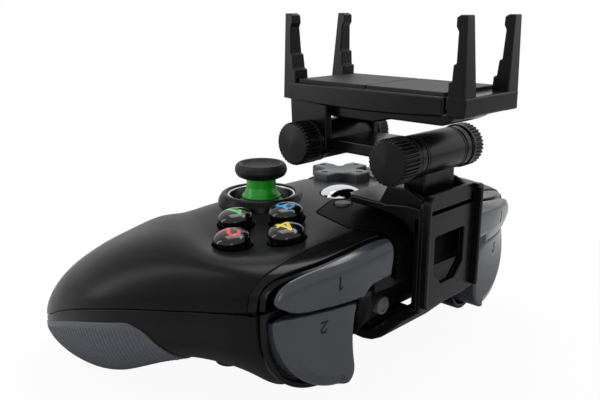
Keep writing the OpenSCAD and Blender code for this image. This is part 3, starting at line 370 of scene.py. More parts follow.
def put(name, parts, body, node, uv=None):
    """Mesh piece from (part, material) pairs. Triangles are turned to face along their normals, points
    go from the pad's frame in millimetres to the model's frame in metres, and the piece rides a body,
    stands for a node and takes its finish from a slot."""
    sliver = 1e-7
    co, nrm, tri = join(*[p for p, _ in parts])
    which = np.concatenate([np.full(len(p[2]), k) for k, (p, _) in enumerate(parts)])
    cross = np.cross(co[tri[:, 1]] - co[tri[:, 0]], co[tri[:, 2]] - co[tri[:, 0]])
    keep = np.linalg.norm(cross, axis=1) > sliver
    tri, which, cross = tri[keep], which[keep], cross[keep]
    turned = np.sum(cross * nrm[tri].sum(1), 1) < 0
    tri = np.where(turned[:, None], tri[:, ::-1], tri)
    me = bpy.data.meshes.new(name)
    me.vertices.add(len(co))
    me.vertices.foreach_set("co", ((co + LIFT) * MM).astype(np.float32).ravel())
    me.loops.add(tri.size)
    me.loops.foreach_set("vertex_index", tri.astype(np.int32).ravel())
    me.polygons.add(len(tri))
    me.polygons.foreach_set("loop_start", np.arange(0, tri.size, 3, dtype=np.int32))
    for _, material in parts:
        me.materials.append(material)
    me.polygons.foreach_set("material_index", which.astype(np.int32))
    me.polygons.foreach_set("use_smooth", np.ones(len(tri), bool))
    me.update(calc_edges=True)
    if uv is not None:
        layer = me.uv_layers.new(name="surface")
        layer.data.foreach_set("uv", uv[tri.ravel()].astype(np.float32).ravel())
    me.normals_split_custom_set_from_vertices(nrm)
    obj = linked(name, me)
    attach(obj, body)
    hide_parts(node)


def put_pair(name, parts, body, node, uv=None):
    """A piece on the right and its mirror image on the left. {} in a name stands for the side."""
    for side, turn in (("right", tuple), ("left", mirrored)):
        turned = [(turn(part), material) for part, material in parts]
        put(name.format(side), turned, body.format(side), node.format(side), uv)


# On the left side the place, the centre x and the half span x change their sign.
FLIP = np.array([-1 if k in (0, 1, 3) else 1 for k in range(STATION.shape[1])])
RAIL = np.concatenate([STATION[:0:-1] * FLIP, STATION])
PREV = np.maximum(np.arange(len(RAIL)) - 1, 0)
NEXT = np.minimum(np.arange(len(RAIL)) + 1, len(RAIL) - 1)
SLOPE = (RAIL[NEXT] - RAIL[PREV]) / (RAIL[NEXT, :1] - RAIL[PREV, :1])


def row_at(t):
    """Body stations at places t: a cubic through the rail, with its neighbours' slope at each one."""
    i = np.clip(np.searchsorted(RAIL[:, 0], t, side="right") - 1, 0, len(RAIL) - 2)
    h = (RAIL[i + 1, 0] - RAIL[i, 0])[:, None]
    s = (t[:, None] - RAIL[i, :1]) / h
    return ((2 * s**3 - 3 * s**2 + 1) * RAIL[i] + (s**3 - 2 * s**2 + s) * h * SLOPE[i]
            + (3 * s**2 - 2 * s**3) * RAIL[i + 1] + (s**3 - s**2) * h * SLOPE[i + 1])


def hump(x, y, spot):
    """Round rise about a place: its height times e^(-d^2 / 2 r^2), with d the distance in plan."""
    return spot[3] * np.exp(-((x - spot[0])**2 + (y - spot[1])**2) / (2 * spot[2]**2))


def half_section(q, side, top, walls, crown):
    """Half of each section, from its seam edge on one side to its middle, as share of the span u and
    share of the rise h: u = s^(2/a) and h = c^(2/b), with s and c the sine and cosine of one angle. On
    the wall h grows in even steps, over the crown u shrinks in even steps."""
    full_in, full_out, square_out, _, _, full_low = np.split(q, STATION.shape[1], 1)[9:]
    wall_top, wall_tries, crown_tries = 0.86, 14, 40

    def powers(s):
        """The two powers a and b, which change from the section's inner to its outer side."""
        w = (1 + s) / 2
        if not top:
            return full_low + 0 * s, LOWER_SQUARE + 0 * s
        return full_in + (full_out - full_in) * w, INNER_SQUARE + (square_out - INNER_SQUARE) * w
    h = np.broadcast_to(np.linspace(0, wall_top, walls), (len(q), walls))
    s = np.full(h.shape, float(side))
    for _ in range(wall_tries):
        s = side * np.sqrt(np.maximum(0, 1 - h ** powers(s)[1]))
    u = side * np.abs(s) ** (2 / powers(s)[0])
    u2 = u[:, -1:] * np.linspace(1, 0, crown + 1)[1:]
    s = u2.copy()
    for _ in range(crown_tries):
        s = 0.5 * s + 0.5 * side * np.abs(u2) ** (powers(s)[0] / 2)
    h2 = np.sqrt(np.maximum(0, 1 - s**2)) ** (2 / powers(s)[1])
    return np.concatenate([u, u2], 1), np.concatenate([h, h2], 1)


def body_at(t, u, h, top, inset=0.0):
    """Points of the body where the section shares are u and h, drawn in by inset, and their height
    over the seam."""
    (_, mid_x, mid_y, half_x, half_y, seam_in, seam_out, crown, belly, _, _, _, tilt, setback, _
     ) = np.split(row_at(t), STATION.shape[1], 1)
    cap = np.sqrt(np.maximum(0, 1 - np.abs(t) ** TIP_POWER))[:, None]
    reach = np.hypot(half_x, half_y)
    span = np.maximum(0, cap - inset / reach) - (0 if top else np.where(u < 0, 0, setback / reach))
    seam = (seam_in + seam_out) / 2
    x, y = mid_x + half_x * span * u, mid_y + half_y * span * u
    line = seam + (seam_out - seam_in) / 2 * u * cap
    if top:
        rise = np.maximum(0, (crown - seam) * cap - inset)
        z = line + (rise + tilt * u * cap - hump(np.abs(x), y, DISH) - hump(x, y, DIP)) * h
        return np.stack([x, y, z], -1), z - line
    rise = np.minimum(0, (belly - seam) * cap + inset)
    z = line + (rise - hump(np.abs(x), y, BULGE)) * h - SEAM_GAP
    return np.stack([x, y, z], -1), line - SEAM_GAP - z


def body_skin(t0, t1, rows, top, inset=0.0, walls=26, crown=46):
    """Part of the top or bottom half between two places along the body, and its height over the seam."""
    t = np.sin(np.linspace(math.asin(t0), math.asin(t1), rows))
    q = row_at(t)
    u0, h0 = half_section(q, -1, top, walls, crown)
    u1, h1 = half_section(q, 1, top, walls, crown)
    u = np.concatenate([u0, u1[:, -2::-1]], 1)
    h = np.concatenate([h0, h1[:, -2::-1]], 1)
    co, over = body_at(t, u, h, top, inset)
    return surface(co, flip=not top), over.ravel()


def to_polygon(xy, poly):
    """Signed distance of points from a closed polygon, below zero inside."""
    d = np.full(len(xy), np.inf)
    inside = np.zeros(len(xy), bool)
    for p, q in zip(poly, np.roll(poly, -1, 0)):
        e, w = q - p, xy - p
        s = np.clip(w @ e / (e @ e), 0, 1)[:, None]
        d = np.minimum(d, np.linalg.norm(w - s * e, axis=1))
        if p[1] != q[1]:
            inside ^= ((p[1] > xy[:, 1]) != (q[1] > xy[:, 1])) & (
                xy[:, 0] < p[0] + (xy[:, 1] - p[1]) * e[0] / e[1])
    return np.where(inside, -d, d)


def from_axis(co, centre):
    """Distance of points from an upright axis, in plan."""
    return np.hypot(co[:, 0] - centre[0], co[:, 1] - centre[1])


def lean(v, way=1):
    """Turns vectors from the face cluster's own frame to the pad's, or back where way is -1."""
    c, s = math.cos(FACE_LEAN), way * math.sin(FACE_LEAN)
    return np.stack([c * v[:, 0] + s * v[:, 2], v[:, 1], c * v[:, 2] - s * v[:, 0]], 1)


def open_plan(edge, power, back=0.0):
    """Plan that is open to the front and the side: a polynomial of that power through its rear edge,
    moved back."""
    x = np.linspace(edge[0, 0], edge[-1, 0], 41)
    y = np.polyval(np.polyfit(edge[:, 0], edge[:, 1], power), x) - back
    return np.concatenate([np.stack([x, y], 1), [[FAR, y[-1]], [FAR, FAR], [x[0], FAR]]])


def bay_plan(back=0.0):
    """Plan of a bumper, or moved back, of the bay that it sits in."""
    return open_plan(BUMPER_EDGE, 4, back)


def band_plan():
    """Plan of a bay with the polished band behind it."""
    return open_plan(BAND_EDGE, 5)


def bridge_plan():
    """Plan of the front panel, on both sides of the middle."""
    return two_sided(BRIDGE_EDGE)[:-1]


def tub_outline():
    """Front outline of a trigger, in x and z: a quarter oval with a rounded inner corner."""
    corner, oval = 4.0, 2.2
    w, h = TUB["out"] - TUB["in"], TUB["top"] - TUB["low"]
    a = np.linspace(0, math.pi / 2, 9)
    low = np.stack([TUB["in"] + corner * (1 - np.cos(a)), TUB["low"] + corner * (1 - np.sin(a))], 1)
    b = np.linspace(math.pi / 2 * 0.86, 0, 40)
    arc = np.stack([TUB["in"] + w * np.cos(b) ** (2 / oval), TUB["top"] - h * np.sin(b) ** (2 / oval)], 1)
    return np.concatenate([[[TUB["in"], TUB["top"]]], low, arc])


def side_xy(co):
    """Plan of points folded on to the right half."""
    return np.stack([np.abs(co[:, 0]), co[:, 1]], 1)


def shell_holes(co):
    """Field of the openings in the top shell that aren't bays: above zero inside one."""
    flat = lean(co - FACE_AT, -1)
    fields = [PANEL_GAP - to_polygon(co[:, :2], bridge_plan()), CROSS_DISH - from_axis(co, CROSS_AT),
              HOME_R + BUTTON_GAP - from_axis(co, (0, HOME_Y))]
    fields += [STICK_HOLE - from_axis(co, spot) for spot in STICKS.values()]
    for place in FACE_PLACES.values():
        fields.append(FACE_R + BUTTON_GAP - from_axis(flat, np.array(place) * FACE_PITCH))
    return np.maximum.reduce(fields)


def add(tree, kind, inputs=None, **settings):
    """Adds a node with its settings. Each input is a value, or a socket that is linked to it."""
    node = tree.nodes.new(kind)
    for key, value in settings.items():
        setattr(node, key, value)
    for key, value in (inputs or {}).items():
        if isinstance(value, bpy.types.NodeSocket):
            tree.links.new(value, node.inputs[key])
        else:
            node.inputs[key].default_value = value
    return node


def bare_tree(owner):
    """Emptied node tree of a material or a world."""
    owner.use_nodes = True
    owner.node_tree.nodes.clear()
    return owner.node_tree


def scale_of(size):
    """Scale of a pattern whose parts are that many millimetres wide."""
    return 1 / (size * MM)


def grain(grit):
    """Height of a moulded grain: noise with lumps of that many millimetres."""
    return lambda tree, place: add(
        tree, "ShaderNodeTexNoise", {"Vector": place, "Scale": scale_of(grit), "Detail": 2.0}).outputs["Fac"]


def cells(width):
    """Height of raised round cells, each that many millimetres wide."""
    def height(tree, place):
        spots = add(tree, "ShaderNodeTexVoronoi", {
            "Vector": place, "Scale": scale_of(width), "Randomness": 0.35}).outputs["Distance"]
        return add(tree, "ShaderNodeMapRange", {0: spots, 1: 0.15, 2: 0.6, 3: 1.0, 4: 0.0},
                   interpolation_type="SMOOTHSTEP").outputs[0]
    return height


def notches(pitch):
    """Height of notches along the second direction of the UV map, which is in millimetres."""
    def height(tree, place):
        spot = add(tree, "ShaderNodeUVMap", uv_map="surface").outputs[0]
        along = add(tree, "ShaderNodeSeparateXYZ", {0: spot}).outputs[1]
        per_notch = 2 * math.pi / pitch
        turn = add(tree, "ShaderNodeMath", {0: along, 1: per_notch}, operation="MULTIPLY").outputs[0]
        wave = add(tree, "ShaderNodeMath", {0: turn}, operation="SINE").outputs[0]
        return add(tree, "ShaderNodeMapRange", {0: wave, 1: -0.6, 2: 0.8},
                   interpolation_type="SMOOTHSTEP").outputs[0]
    return height


def lines(pitch, axis):
    """Height of drawn lines along one axis, about that many millimetres apart and 40 times as long."""
    def height(tree, place):
        stretch = [scale_of(pitch)] * 3
        stretch[axis] /= 40
        run = add(tree, "ShaderNodeMapping", {"Vector": place, "Scale": stretch}).outputs[0]
        return add(tree, "ShaderNodeTexNoise", {"Vector": run, "Scale": 1.0, "Detail": 2.0}).outputs["Fac"]
    return height


def tracks(pitch):
    """Height of copper tracks on a board: a brick pattern of that many millimetres."""
    return lambda tree, place: add(tree, "ShaderNodeTexBrick", {
        "Vector": place, "Scale": scale_of(pitch), "Mortar Size": 0.06, "Brick Width": 3.0,
        "Row Height": 1.0}).outputs["Fac"]


METAL = {"Metallic": 1.0}
DRIFT, SPREAD = 25.0, 0.05
# Each finish: hex colour or colour property, roughness, height pattern, relief in millimetres, colour
# drift, and the specular level or the sockets of a metal or coat. Grains finer than a pixel are drawn at
# 0.3 mm or more, so that they show. Blacks keep a low specular level, as their fine texture breaks up
# the white studio.
FINISHES = {
    # Spark-textured black ABS: a soft broad sheen, never a mirror.
    "satin_textured_abs": ("shell", 0.3, grain(0.5), 0.005, 0.10, 0.09),
    # Polished black ABS: deep and clear, with crisp reflections.
    "polished_abs": ("gloss", 0.2, grain(4.0), 0.004, 0.05, 0.14),
    # The same ABS under a smoke-black lacquer: darker, with a soft shine.
    "lacquered_abs": ("#070708", 0.3, grain(4.0), 0.004, 0.05, 0.012),
    # Slate ABS from a fine-sanded tool: an even grey with a wide highlight.
    "sanded_slate_abs": ("slate", 0.22, grain(0.45), 0.004, 0.05, 0.4),
    # Soft elastomer overmoulded in ridges, each notched about every millimetre: dull, with lit backs.
    "ridged_grip_elastomer": ("grip", 0.5, notches(1.1), 0.08, 0.06, 0.35),
    # Through-coloured green ABS: saturated, with a clear highlight down the stem.
    "moulded_green_abs": ("stem", 0.28, grain(1.5), 0.004, 0.08, 0.4),
    # Matt stick rubber: near black, with a broad dim sheen.
    "matt_stick_rubber": ("#101011", 0.5, grain(0.5), 0.008, 0.08, 0.22),
    # The same rubber with small raised cells for grip.
    "celled_stick_rubber": ("#121213", 0.58, cells(1.0), 0.10, 0.08, 0.25),
    # Nickel-plated ABS, brushed dull.
    "satin_nickel_plate": ("#b9bbbd", 0.24, lines(0.5, 2), 0.002, 0.03, METAL),
    # Bright chrome plate: a clear mirror of the studio.
    "bright_chrome_plate": ("#d3d5d7", 0.07, grain(6.0), 0.003, 0.02, METAL),
    # Clear-topped black acrylic of the buttons: glossy, with a coat.
    "coated_black_acrylic": ("#08080a", 0.12, grain(5.0), 0.003, 0.05,
                             {"Specular IOR Level": 0.25, "Coat Weight": 0.2, "Coat Roughness": 0.05}),
    # Mid-grey ABS of the direction cross and the small buttons.
    "moulded_grey_abs": ("#4c4f53", 0.38, grain(0.5), 0.005, 0.05, 0.35),
    # Glass-filled black nylon: satin, a little uneven where the fibres lie near the skin.
    "glass_filled_nylon": ("clip", 0.26, grain(0.7), 0.005, 0.12, 0.15),
    # The same nylon from an eroded tool: coarser and duller.
    "eroded_nylon": ("#131314", 0.5, grain(0.4), 0.014, 0.12, 0.2),
    # Dark rubber of the claw pads.
    "dull_claw_rubber": ("#1d1d1e", 0.7, grain(0.6), 0.02, 0.08, 0.2),
    # Drawn steel wire and pins: grey metal with fine lines along the draw.
    "drawn_steel": ("#8d9094", 0.3, lines(0.3, 0), 0.002, 0.04, METAL),
    # Green solder mask over copper tracks.
    "solder_masked_laminate": ("#14532f", 0.35, tracks(1.2), 0.03, 0.1, 0.5),
    # Shrunk PVC sleeve of the battery.
    "shrunk_pvc_sleeve": ("#55606b", 0.4, grain(3.0), 0.03, 0.06, 0.5),
    # Translucent grey silicone of the key membrane.
    "cast_silicone": ("#5d6165", 0.55, grain(1.0), 0.01, 0.05, 0.4),
    # Black acetal of the stick housings and domes: waxy.
    "moulded_acetal": ("#1c1c1e", 0.4, grain(0.8), 0.006, 0.08, 0.4),
    # Bright inks of the button numerals, under a clear top.
    **{name + "_ink": (code, 0.2, grain(2.0), 0.002, 0.04, 0.4) for name, code in (
        ("green", "#2fd152"), ("red", "#e3242c"), ("blue", "#2aa7e6"), ("yellow", "#f0d21f"))},
    # Black pad-printed ink on the bumpers and triggers, also used as painted shade in the dimples of the
    # cross.
    "printed_black_ink": ("#0c0d0f", 0.5, grain(0.5), 0.003, 0.05, 0.2),
}


def finish(name):
    """The finish of that name, made when it is first asked for. Over DRIFT millimetres its colour drifts
    by a share and its roughness by SPREAD. Its surface is lifted by the relief times its pattern."""
    if name in bpy.data.materials:
        return bpy.data.materials[name]
    code, rough, pattern, relief, vary, shine = FINISHES[name]
    base = np.array(linear(code) if code.startswith("#") else getattr(bpy.context.scene.pad_colours, code))
    material = bpy.data.materials.new(name)
    tree = bare_tree(material)
    place = add(tree, "ShaderNodeTexCoord").outputs["Object"]
    cloud = add(tree, "ShaderNodeTexNoise", {
        "Vector": place, "Scale": scale_of(DRIFT), "Detail": 4.0}).outputs["Fac"]
    tone = add(tree, "ShaderNodeMix", {0: cloud, 6: opaque(base * (1 - vary)), 7: opaque(base * (1 + vary))},
               data_type="RGBA").outputs[2]
    gloss = add(tree, "ShaderNodeMapRange", {
        0: cloud, 1: 0.25, 2: 0.75, 3: rough - SPREAD, 4: rough + SPREAD}).outputs[0]
    bump = add(tree, "ShaderNodeBump", {"Distance": relief * MM, "Height": pattern(tree, place)}).outputs[0]
    sockets = shine if isinstance(shine, dict) else {"Specular IOR Level": shine}
    shader = add(tree, "ShaderNodeBsdfPrincipled", {
        "Base Color": tone, "Roughness": gloss, "Normal": bump, **sockets})
    add(tree, "ShaderNodeOutputMaterial", {"Surface": shader.outputs[0]})
    return material


def offset_ring(ring, d):
    """Closed anticlockwise outline moved out by d, with mitred corners."""
    def normals(e):
        return unit(np.stack([e[:, 1], -e[:, 0]], 1))
    n0, n1 = normals(ring - np.roll(ring, 1, 0)), normals(np.roll(ring, -1, 0) - ring)
    return ring + (n0 + n1) / (1 + np.sum(n0 * n1, 1, keepdims=True)) * d


def to_path(uv, path):
    """Distance of points from an open path."""
    d = np.full(len(uv), np.inf)
    for p, q in zip(path[:-1], path[1:]):
        s = np.clip((uv - p) @ (q - p) / ((q - p) @ (q - p)), 0, 1)[:, None]
        d = np.minimum(d, np.linalg.norm(uv - p - s * (q - p), axis=1))
    return d


NUMERALS = {
    1: [[[-0.16, 0.3], [0.06, 0.5], [0.06, -0.5]]],
    2: [[[-0.28, 0.24], [-0.24, 0.4], [-0.1, 0.49], [0.1, 0.49], [0.25, 0.38], [0.27, 0.2], [0.17, 0.02],
         [-0.3, -0.5], [0.3, -0.5]]],
    3: [[[-0.26, 0.36], [-0.12, 0.48], [0.08, 0.5], [0.24, 0.4], [0.25, 0.2], [0.1, 0.04], [-0.06, 0.03]],
        [[0.1, 0.04], [0.26, -0.06], [0.3, -0.26], [0.2, -0.44], [0, -0.5], [-0.2, -0.45], [-0.29, -0.32]]],
    4: [[[0.14, -0.5], [0.14, 0.5], [-0.32, -0.2], [0.32, -0.2]]],
}


def numeral(digit, uv, height, stroke):
    """Field of a numeral drawn with a round pen about the middle of uv: below zero on its strokes."""
    return np.min([to_path(uv, np.array(p) * height) for p in NUMERALS[digit]], axis=0) - stroke / 2


def lifted(part, d):
    """A part moved out along its normals."""
    return part[0] + part[1] * d, part[1], part[2]


def stadium_field(xy, centre, half, r):
    """Distance inside an oblong hole along x: above zero inside."""
    dx = np.maximum(np.abs(xy[:, 0] - centre[0]) - half, 0)
    return r - np.hypot(dx, xy[:, 1] - centre[1])


WHITE = (1, 1, 1, 1)
EYE, AZIMUTH, ELEVATION, LENS, SENSOR = (0.16300, 0.14739, 0.10754), 133.91, 15.37, 42.1, 36.0
# Place, width, height and radiance of each softbox; every one looks at the pad.
AIM = Vector((0, 0, 0.04))
SOFTBOXES = {
    "top_softbox": ((-0.12, -0.16, 0.62), 0.45, 0.32, 4.4),
    "edge_strip": ((-0.215, 0.113, 0.593), 0.3, 0.1, 7.0),
    "left_strip": ((0.45, -0.42, 0.28), 0.12, 0.6, 4.6),
    "front_strip": ((0.52, 0.5, 0.14), 0.14, 0.4, 4.0),
    "right_strip": ((-0.5, 0.25, 0.3), 0.2, 0.6, 0.7),
}
FLOOR_RADII, FLOOR_SIDES = (0.001, 0.5, 2.0, 12.0), 96


def white_studio():
    """White world: of strength 1 to the eye, to reflections and through glass, and 0.35 as light."""
    world = bpy.data.worlds.new("white_studio")
    tree = bare_tree(world)
    path = add(tree, "ShaderNodeLightPath")
    seen = path.outputs["Is Camera Ray"]
    for ray in ("Is Glossy Ray", "Is Transmission Ray"):
        seen = add(tree, "ShaderNodeMath", {0: seen, 1: path.outputs[ray]}, operation="MAXIMUM").outputs[0]
    level = add(tree, "ShaderNodeMapRange", {0: seen, 3: 0.35, 4: 1.0}).outputs[0]
    sky = add(tree, "ShaderNodeBackground", {"Color": WHITE, "Strength": level})
    add(tree, "ShaderNodeOutputWorld", {"Surface": sky.outputs[0]})
    return world


def white_paper():
    """Floor of white paper: most of its light is its own, so that only a soft shadow shows near the pad."""
    paper = bpy.data.materials.new("white_paper")
    tree = bare_tree(paper)
    matt = add(tree, "ShaderNodeBsdfDiffuse", {"Color": opaque(linear("#f4f4f4"))})
    glow = add(tree, "ShaderNodeEmission", {"Color": WHITE, "Strength": 1.0})
    place = add(tree, "ShaderNodeTexCoord").outputs["Object"]
    far = add(tree, "ShaderNodeVectorMath", {0: place}, operation="LENGTH").outputs["Value"]
    own = add(tree, "ShaderNodeMapRange", {0: far, 1: 0.06, 2: 0.26, 3: 0.94, 4: 1.0},
              interpolation_type="SMOOTHSTEP").outputs[0]
    seen = add(tree, "ShaderNodeLightPath").outputs["Is Camera Ray"]
    share = add(tree, "ShaderNodeMath", {0: seen, 1: own}, operation="MULTIPLY").outputs[0]
    mix = add(tree, "ShaderNodeMixShader", {0: share, 1: matt.outputs[0], 2: glow.outputs[0]})
    add(tree, "ShaderNodeOutputMaterial", {"Surface": mix.outputs[0]})
    return paper


class PAD_OT_stage(bpy.types.Operator):
    """Camera of the photograph, soft studio lamps, white surroundings and a pale floor"""
    bl_idname = "pad.stage"
    bl_label = "Stage"

    def execute(self, context):
        scene = context.scene
        camera = bpy.data.cameras.new("studio_camera")
        camera.sensor_fit, camera.sensor_width, camera.lens = "HORIZONTAL", SENSOR, LENS
        eye = linked("studio_camera", camera)
        eye.location = EYE
        eye.rotation_euler = (math.pi / 2 - math.radians(ELEVATION), 0, math.radians(AZIMUTH))
        scene.camera = eye
        scene.view_settings.view_transform = "Standard"
        for name, (place, wide, high, level) in SOFTBOXES.items():
            lamp = bpy.data.lights.new(name, "AREA")
            lamp.shape, lamp.size, lamp.size_y = "RECTANGLE", wide, high
            lamp.energy = level * math.pi * wide * high
            holder = linked(name, lamp)
            holder.location = place
            holder.rotation_euler = (AIM - Vector(place)).to_track_quat("-Z", "Y").to_euler()
        scene.world = white_studio()
        ring = circle(np.linspace(0, 2 * math.pi, FLOOR_SIDES, endpoint=False))
        co = placed(np.concatenate([ring * r for r in FLOOR_RADII]), 0, "z")
        tri = grid_tris(len(FLOOR_RADII), FLOOR_SIDES, False, True)[:, ::-1]
        floor = bpy.data.meshes.new("floor")
        floor.from_pydata(co.tolist(), [], tri.tolist())
        floor.materials.append(white_paper())
        linked("floor", floor)
        return {"FINISHED"}


# How far a set-in skin reaches under the one above it, and the y beyond which the front wall lies.
LAP, FRONT_Y = 0.6, 20.0
COLLAR = [(14.2, 13, 0), (13.4, 17.2, 1.6), (12.5, 18.7, 0.5), (11.9, 19.1, 0.4), (11, 19.1, 0.15),
          (10.75, 18.8, 0.15), (10.75, 13, 0)]


def bay_step(inset, width):
    """Skin set in along the rear edge of the bays: from LAP outside it to a width inside, which is a
    function of the distance from the middle."""
    skin, over = body_skin(-1, 1, BODY_ROWS, True, inset=inset)
    plan = side_xy(skin[0])
    bay = to_polygon(plan, bay_plan(BUMPER_GAP))
    return cut(skin, np.maximum.reduce([shell_holes(skin[0]), bay - LAP, -bay - width(plan[:, 0]), -over]))


def cross_dish(skin):
    """Dish that the direction cross lies in, whose edge ends just below the skin round it."""
    wider, near_skin, below = 0.4, 1.5, 0.35
    dish = lathe([(CROSS_DISH + wider, 17.8, 0), (CROSS_DISH + wider, 16.6, 0.6),
                  (CROSS_DISH - 0.8, CROSS_FLOOR, 0.8), (5.6, CROSS_FLOOR, 0.4), (5.6, 10, 0)],
                 (*CROSS_AT, 0), turns=96)
    edge = from_axis(dish[0], CROSS_AT) > CROSS_DISH - 0.3
    near = skin[0][np.abs(from_axis(skin[0], CROSS_AT) - CROSS_DISH) < near_skin]
    gaps = np.linalg.norm(dish[0][edge, None, :2] - near[None, :, :2], axis=2)
    dish[0][edge, 2] = np.minimum(dish[0][edge, 2], near[np.argmin(gaps, 1), 2] - below)
    return dish


def seam_tongue():
    """Upright strip just inside the seam, open at the trigger bays."""
    t = np.sin(np.linspace(-math.pi / 2, math.pi / 2, BODY_ROWS))
    level, inset, clear = np.zeros((len(t), 1)), 0.9, 0.2
    edges = [body_at(t, level + side, level, True, inset)[0][:, 0] for side in (1, -1)]
    loop = np.concatenate([edges[0], edges[1][::-1]])
    tongue = surface(np.stack([loop + [0, 0, h] for h in (-1.6, 1.2)]), wrap_v=True)
    plan = side_xy(tongue[0])
    return cut(tongue, np.minimum(plan[:, 1] - (BAY_Y - clear), plan[:, 0] - (BAY_X + clear)))


class PAD_OT_shells(bpy.types.Operator):
    """Top and bottom shell with their bay bands, stick collars and the dish of the direction cross"""
    bl_idname = "pad.shells"
    bl_label = "Shells"

    def execute(self, context):
        s, satin, polished = sizes(), finish("satin_textured_abs"), finish("polished_abs")
        skin, over = body_skin(-1, 1, BODY_ROWS, True)
        bands = to_polygon(side_xy(skin[0]), band_plan())
        top = cut(skin, np.maximum.reduce([shell_holes(skin[0]), -bands, -over]) + s.edge)
        inner, over = body_skin(-1, 1, BODY_ROWS, True, inset=s.band_step)
        plan = side_xy(inner[0])
        bay, bands = to_polygon(plan, bay_plan(BUMPER_GAP)), to_polygon(plan, band_plan())
        band = cut(inner, np.maximum.reduce([shell_holes(inner[0]), bands - LAP, -bay, -over]) + s.edge)
        # Ledge under the band, wide where the bumper hardly moves, and the gutter below it.
        ledge = bay_step(s.band_step + 0.9, lambda x: 1.3 - 0.03 * (x - BUMPER_IN))
        gutter = bay_step(3.4, lambda x: BUMPER_GAP + 2)
        collars = [lathe(COLLAR, (*spot, 0)) for spot in STICKS.values()]
        put("top_shell_skin", [
            (seam_tongue(), satin), (top, satin), (rim(top, s.edge, 1.6), satin), (band, polished),
            (rim(band, s.edge, 1.2), polished), (ledge, polished), (rim(ledge, 0.15, 2.4), polished),
            (gutter, satin), (join(*collars), satin), (cross_dish(skin), satin)],
            "pad", "top_shell")
        skin, over = body_skin(-1, 1, BODY_ROWS, False)
        co, plan = skin[0], side_xy(skin[0])
        clear = np.maximum(BAY_Y - plan[:, 1], BAY_X - plan[:, 0])
        pairing = SMALL_R + BUTTON_GAP - np.hypot(co[:, 0] - PAIRING_AT[0], co[:, 2] - PAIRING_AT[1])
        usb = np.minimum(USB_HALF - plan[:, 0], co[:, 2] - USB_LOW)
        holes = [stadium_field(plan, REAR_AT, REAR_HALF, REAR_R + BUTTON_GAP), -over,
                 np.minimum(np.maximum(pairing, usb), co[:, 1] - FRONT_Y)]
        holes = np.maximum.reduce(holes + [SCREW_R - from_axis(plan, spot) for spot in SCREWS])
        low = cut(skin, np.maximum(holes, -clear) + s.edge)
        lip = cut(skin, np.maximum.reduce([holes, clear - 3.7, -clear]) + s.edge)
        put("bottom_shell_skin", [
            (low, satin), (rim(low, s.edge, 1.8), satin), (rim(lip, s.edge, 5.0, keep=(1, 0, 1)), satin)],
            "pad", "bottom_shell")
        return {"FINISHED"}


class PAD_OT_grips(bpy.types.Operator):
    """Ridged rubber pads on the grips"""
    bl_idname = "pad.grips"
    bl_label = "Grip pads"

    def execute(self, context):
        rubber, rows, cols = finish("ridged_grip_elastomer"), 420, 110
        proud, pitch, high, corner, edge = 0.55, 1.5, 0.22, 5.0, 0.45
        i, j = np.meshgrid(np.linspace(0, 1, rows), np.linspace(0, 1, cols), indexing="ij")
        # Degrees from the grip's lowest line: 45 on the inside to 83 outside, where it starts further on.
        phi = -45 + 128 * j
        start, end = 0.49 + 0.15 * np.clip((phi - 10) / 73, 0, 1), 0.985
        t = (start + (end - start) * i).ravel()
        a = np.radians(phi).ravel()[:, None]
        u = np.sign(np.sin(a)) * np.abs(np.sin(a)) ** (2 / row_at(t)[:, -1:])
        h = np.cos(a) ** (2 / LOWER_SQUARE)
        co = body_at(t, u, h, False, -proud)[0].reshape(rows, cols, 3)
        nrm = surface(co, flip=True)[1].reshape(rows, cols, 3)
        run = np.cumsum(np.linalg.norm(np.diff(co, axis=0, prepend=co[:1]), axis=2), 0)
        wide = np.cumsum(np.linalg.norm(np.diff(co, axis=1, prepend=co[:, :1]), axis=2), 1)
        to_tip = run[-1] - run
        ends = np.stack([np.minimum(run, to_tip), np.minimum(wide, wide[:, -1:] - wide)], -1)
        # Ridges across the pad: a sine of the way to the tip, cut flat, that fades out at the edges.
        ridge = np.clip(0.5 + 0.8 * np.sin(2 * math.pi * to_tip / pitch), 0, 1)
        ridge *= np.clip(ends.min(-1) - 1.2, 0, 1)
        co, nrm, tri = surface(co + nrm * (high * ridge)[..., None], flip=True)
        d = np.maximum(corner - ends, 0)
        inside = np.where((d > 0).all(-1), np.linalg.norm(d, axis=-1) - corner, -ends.min(-1))
        # The two lengths of the UV map ride along as further columns of the points.
        co = np.concatenate([co, to_tip.reshape(-1, 1), wide.reshape(-1, 1)], 1)
        co, nrm, tri = cut((co, nrm, tri), inside.ravel() + edge)
        face = (co[:, :3], nrm, tri)
        lip = rim(face, edge, 0.9)
        uv = np.concatenate([co[:, 3:], np.zeros((len(lip[0]), 2))])
        put_pair("{}_grip_rubber", [(face, rubber), (lip, rubber)], "pad", "{}_grip_pad", uv)
        return {"FINISHED"}


class PAD_OT_panel(bpy.types.Operator):
    """Lacquered front panel with holes for the home, menu and view buttons"""
    bl_idname = "pad.panel"
    bl_label = "Front panel"

    def execute(self, context):
        lacquered, edge = finish("lacquered_abs"), 0.35
        skin, over = body_skin(-0.25, 0.25, 141, True)
        co = skin[0]
        panel = cut(skin, edge + np.maximum.reduce([
            to_polygon(co[:, :2], bridge_plan()), -over, HOME_R + BUTTON_GAP - from_axis(co, (0, HOME_Y)),
            SMALL_R + BUTTON_GAP - from_axis(side_xy(co), SMALL_AT)]))
        put("front_panel", [(panel, lacquered), (rim(panel, edge, 1.6), lacquered)],
            "pad", "front_bridge")
        return {"FINISHED"}


CREST = np.array([[20, 14.8], [26.8, 14.4], [37.1, 13.3], [44, 12.3], [47.9, 11.2], [52.6, 9.2], [54.7, 7.3],
                  [58, 3.5]])


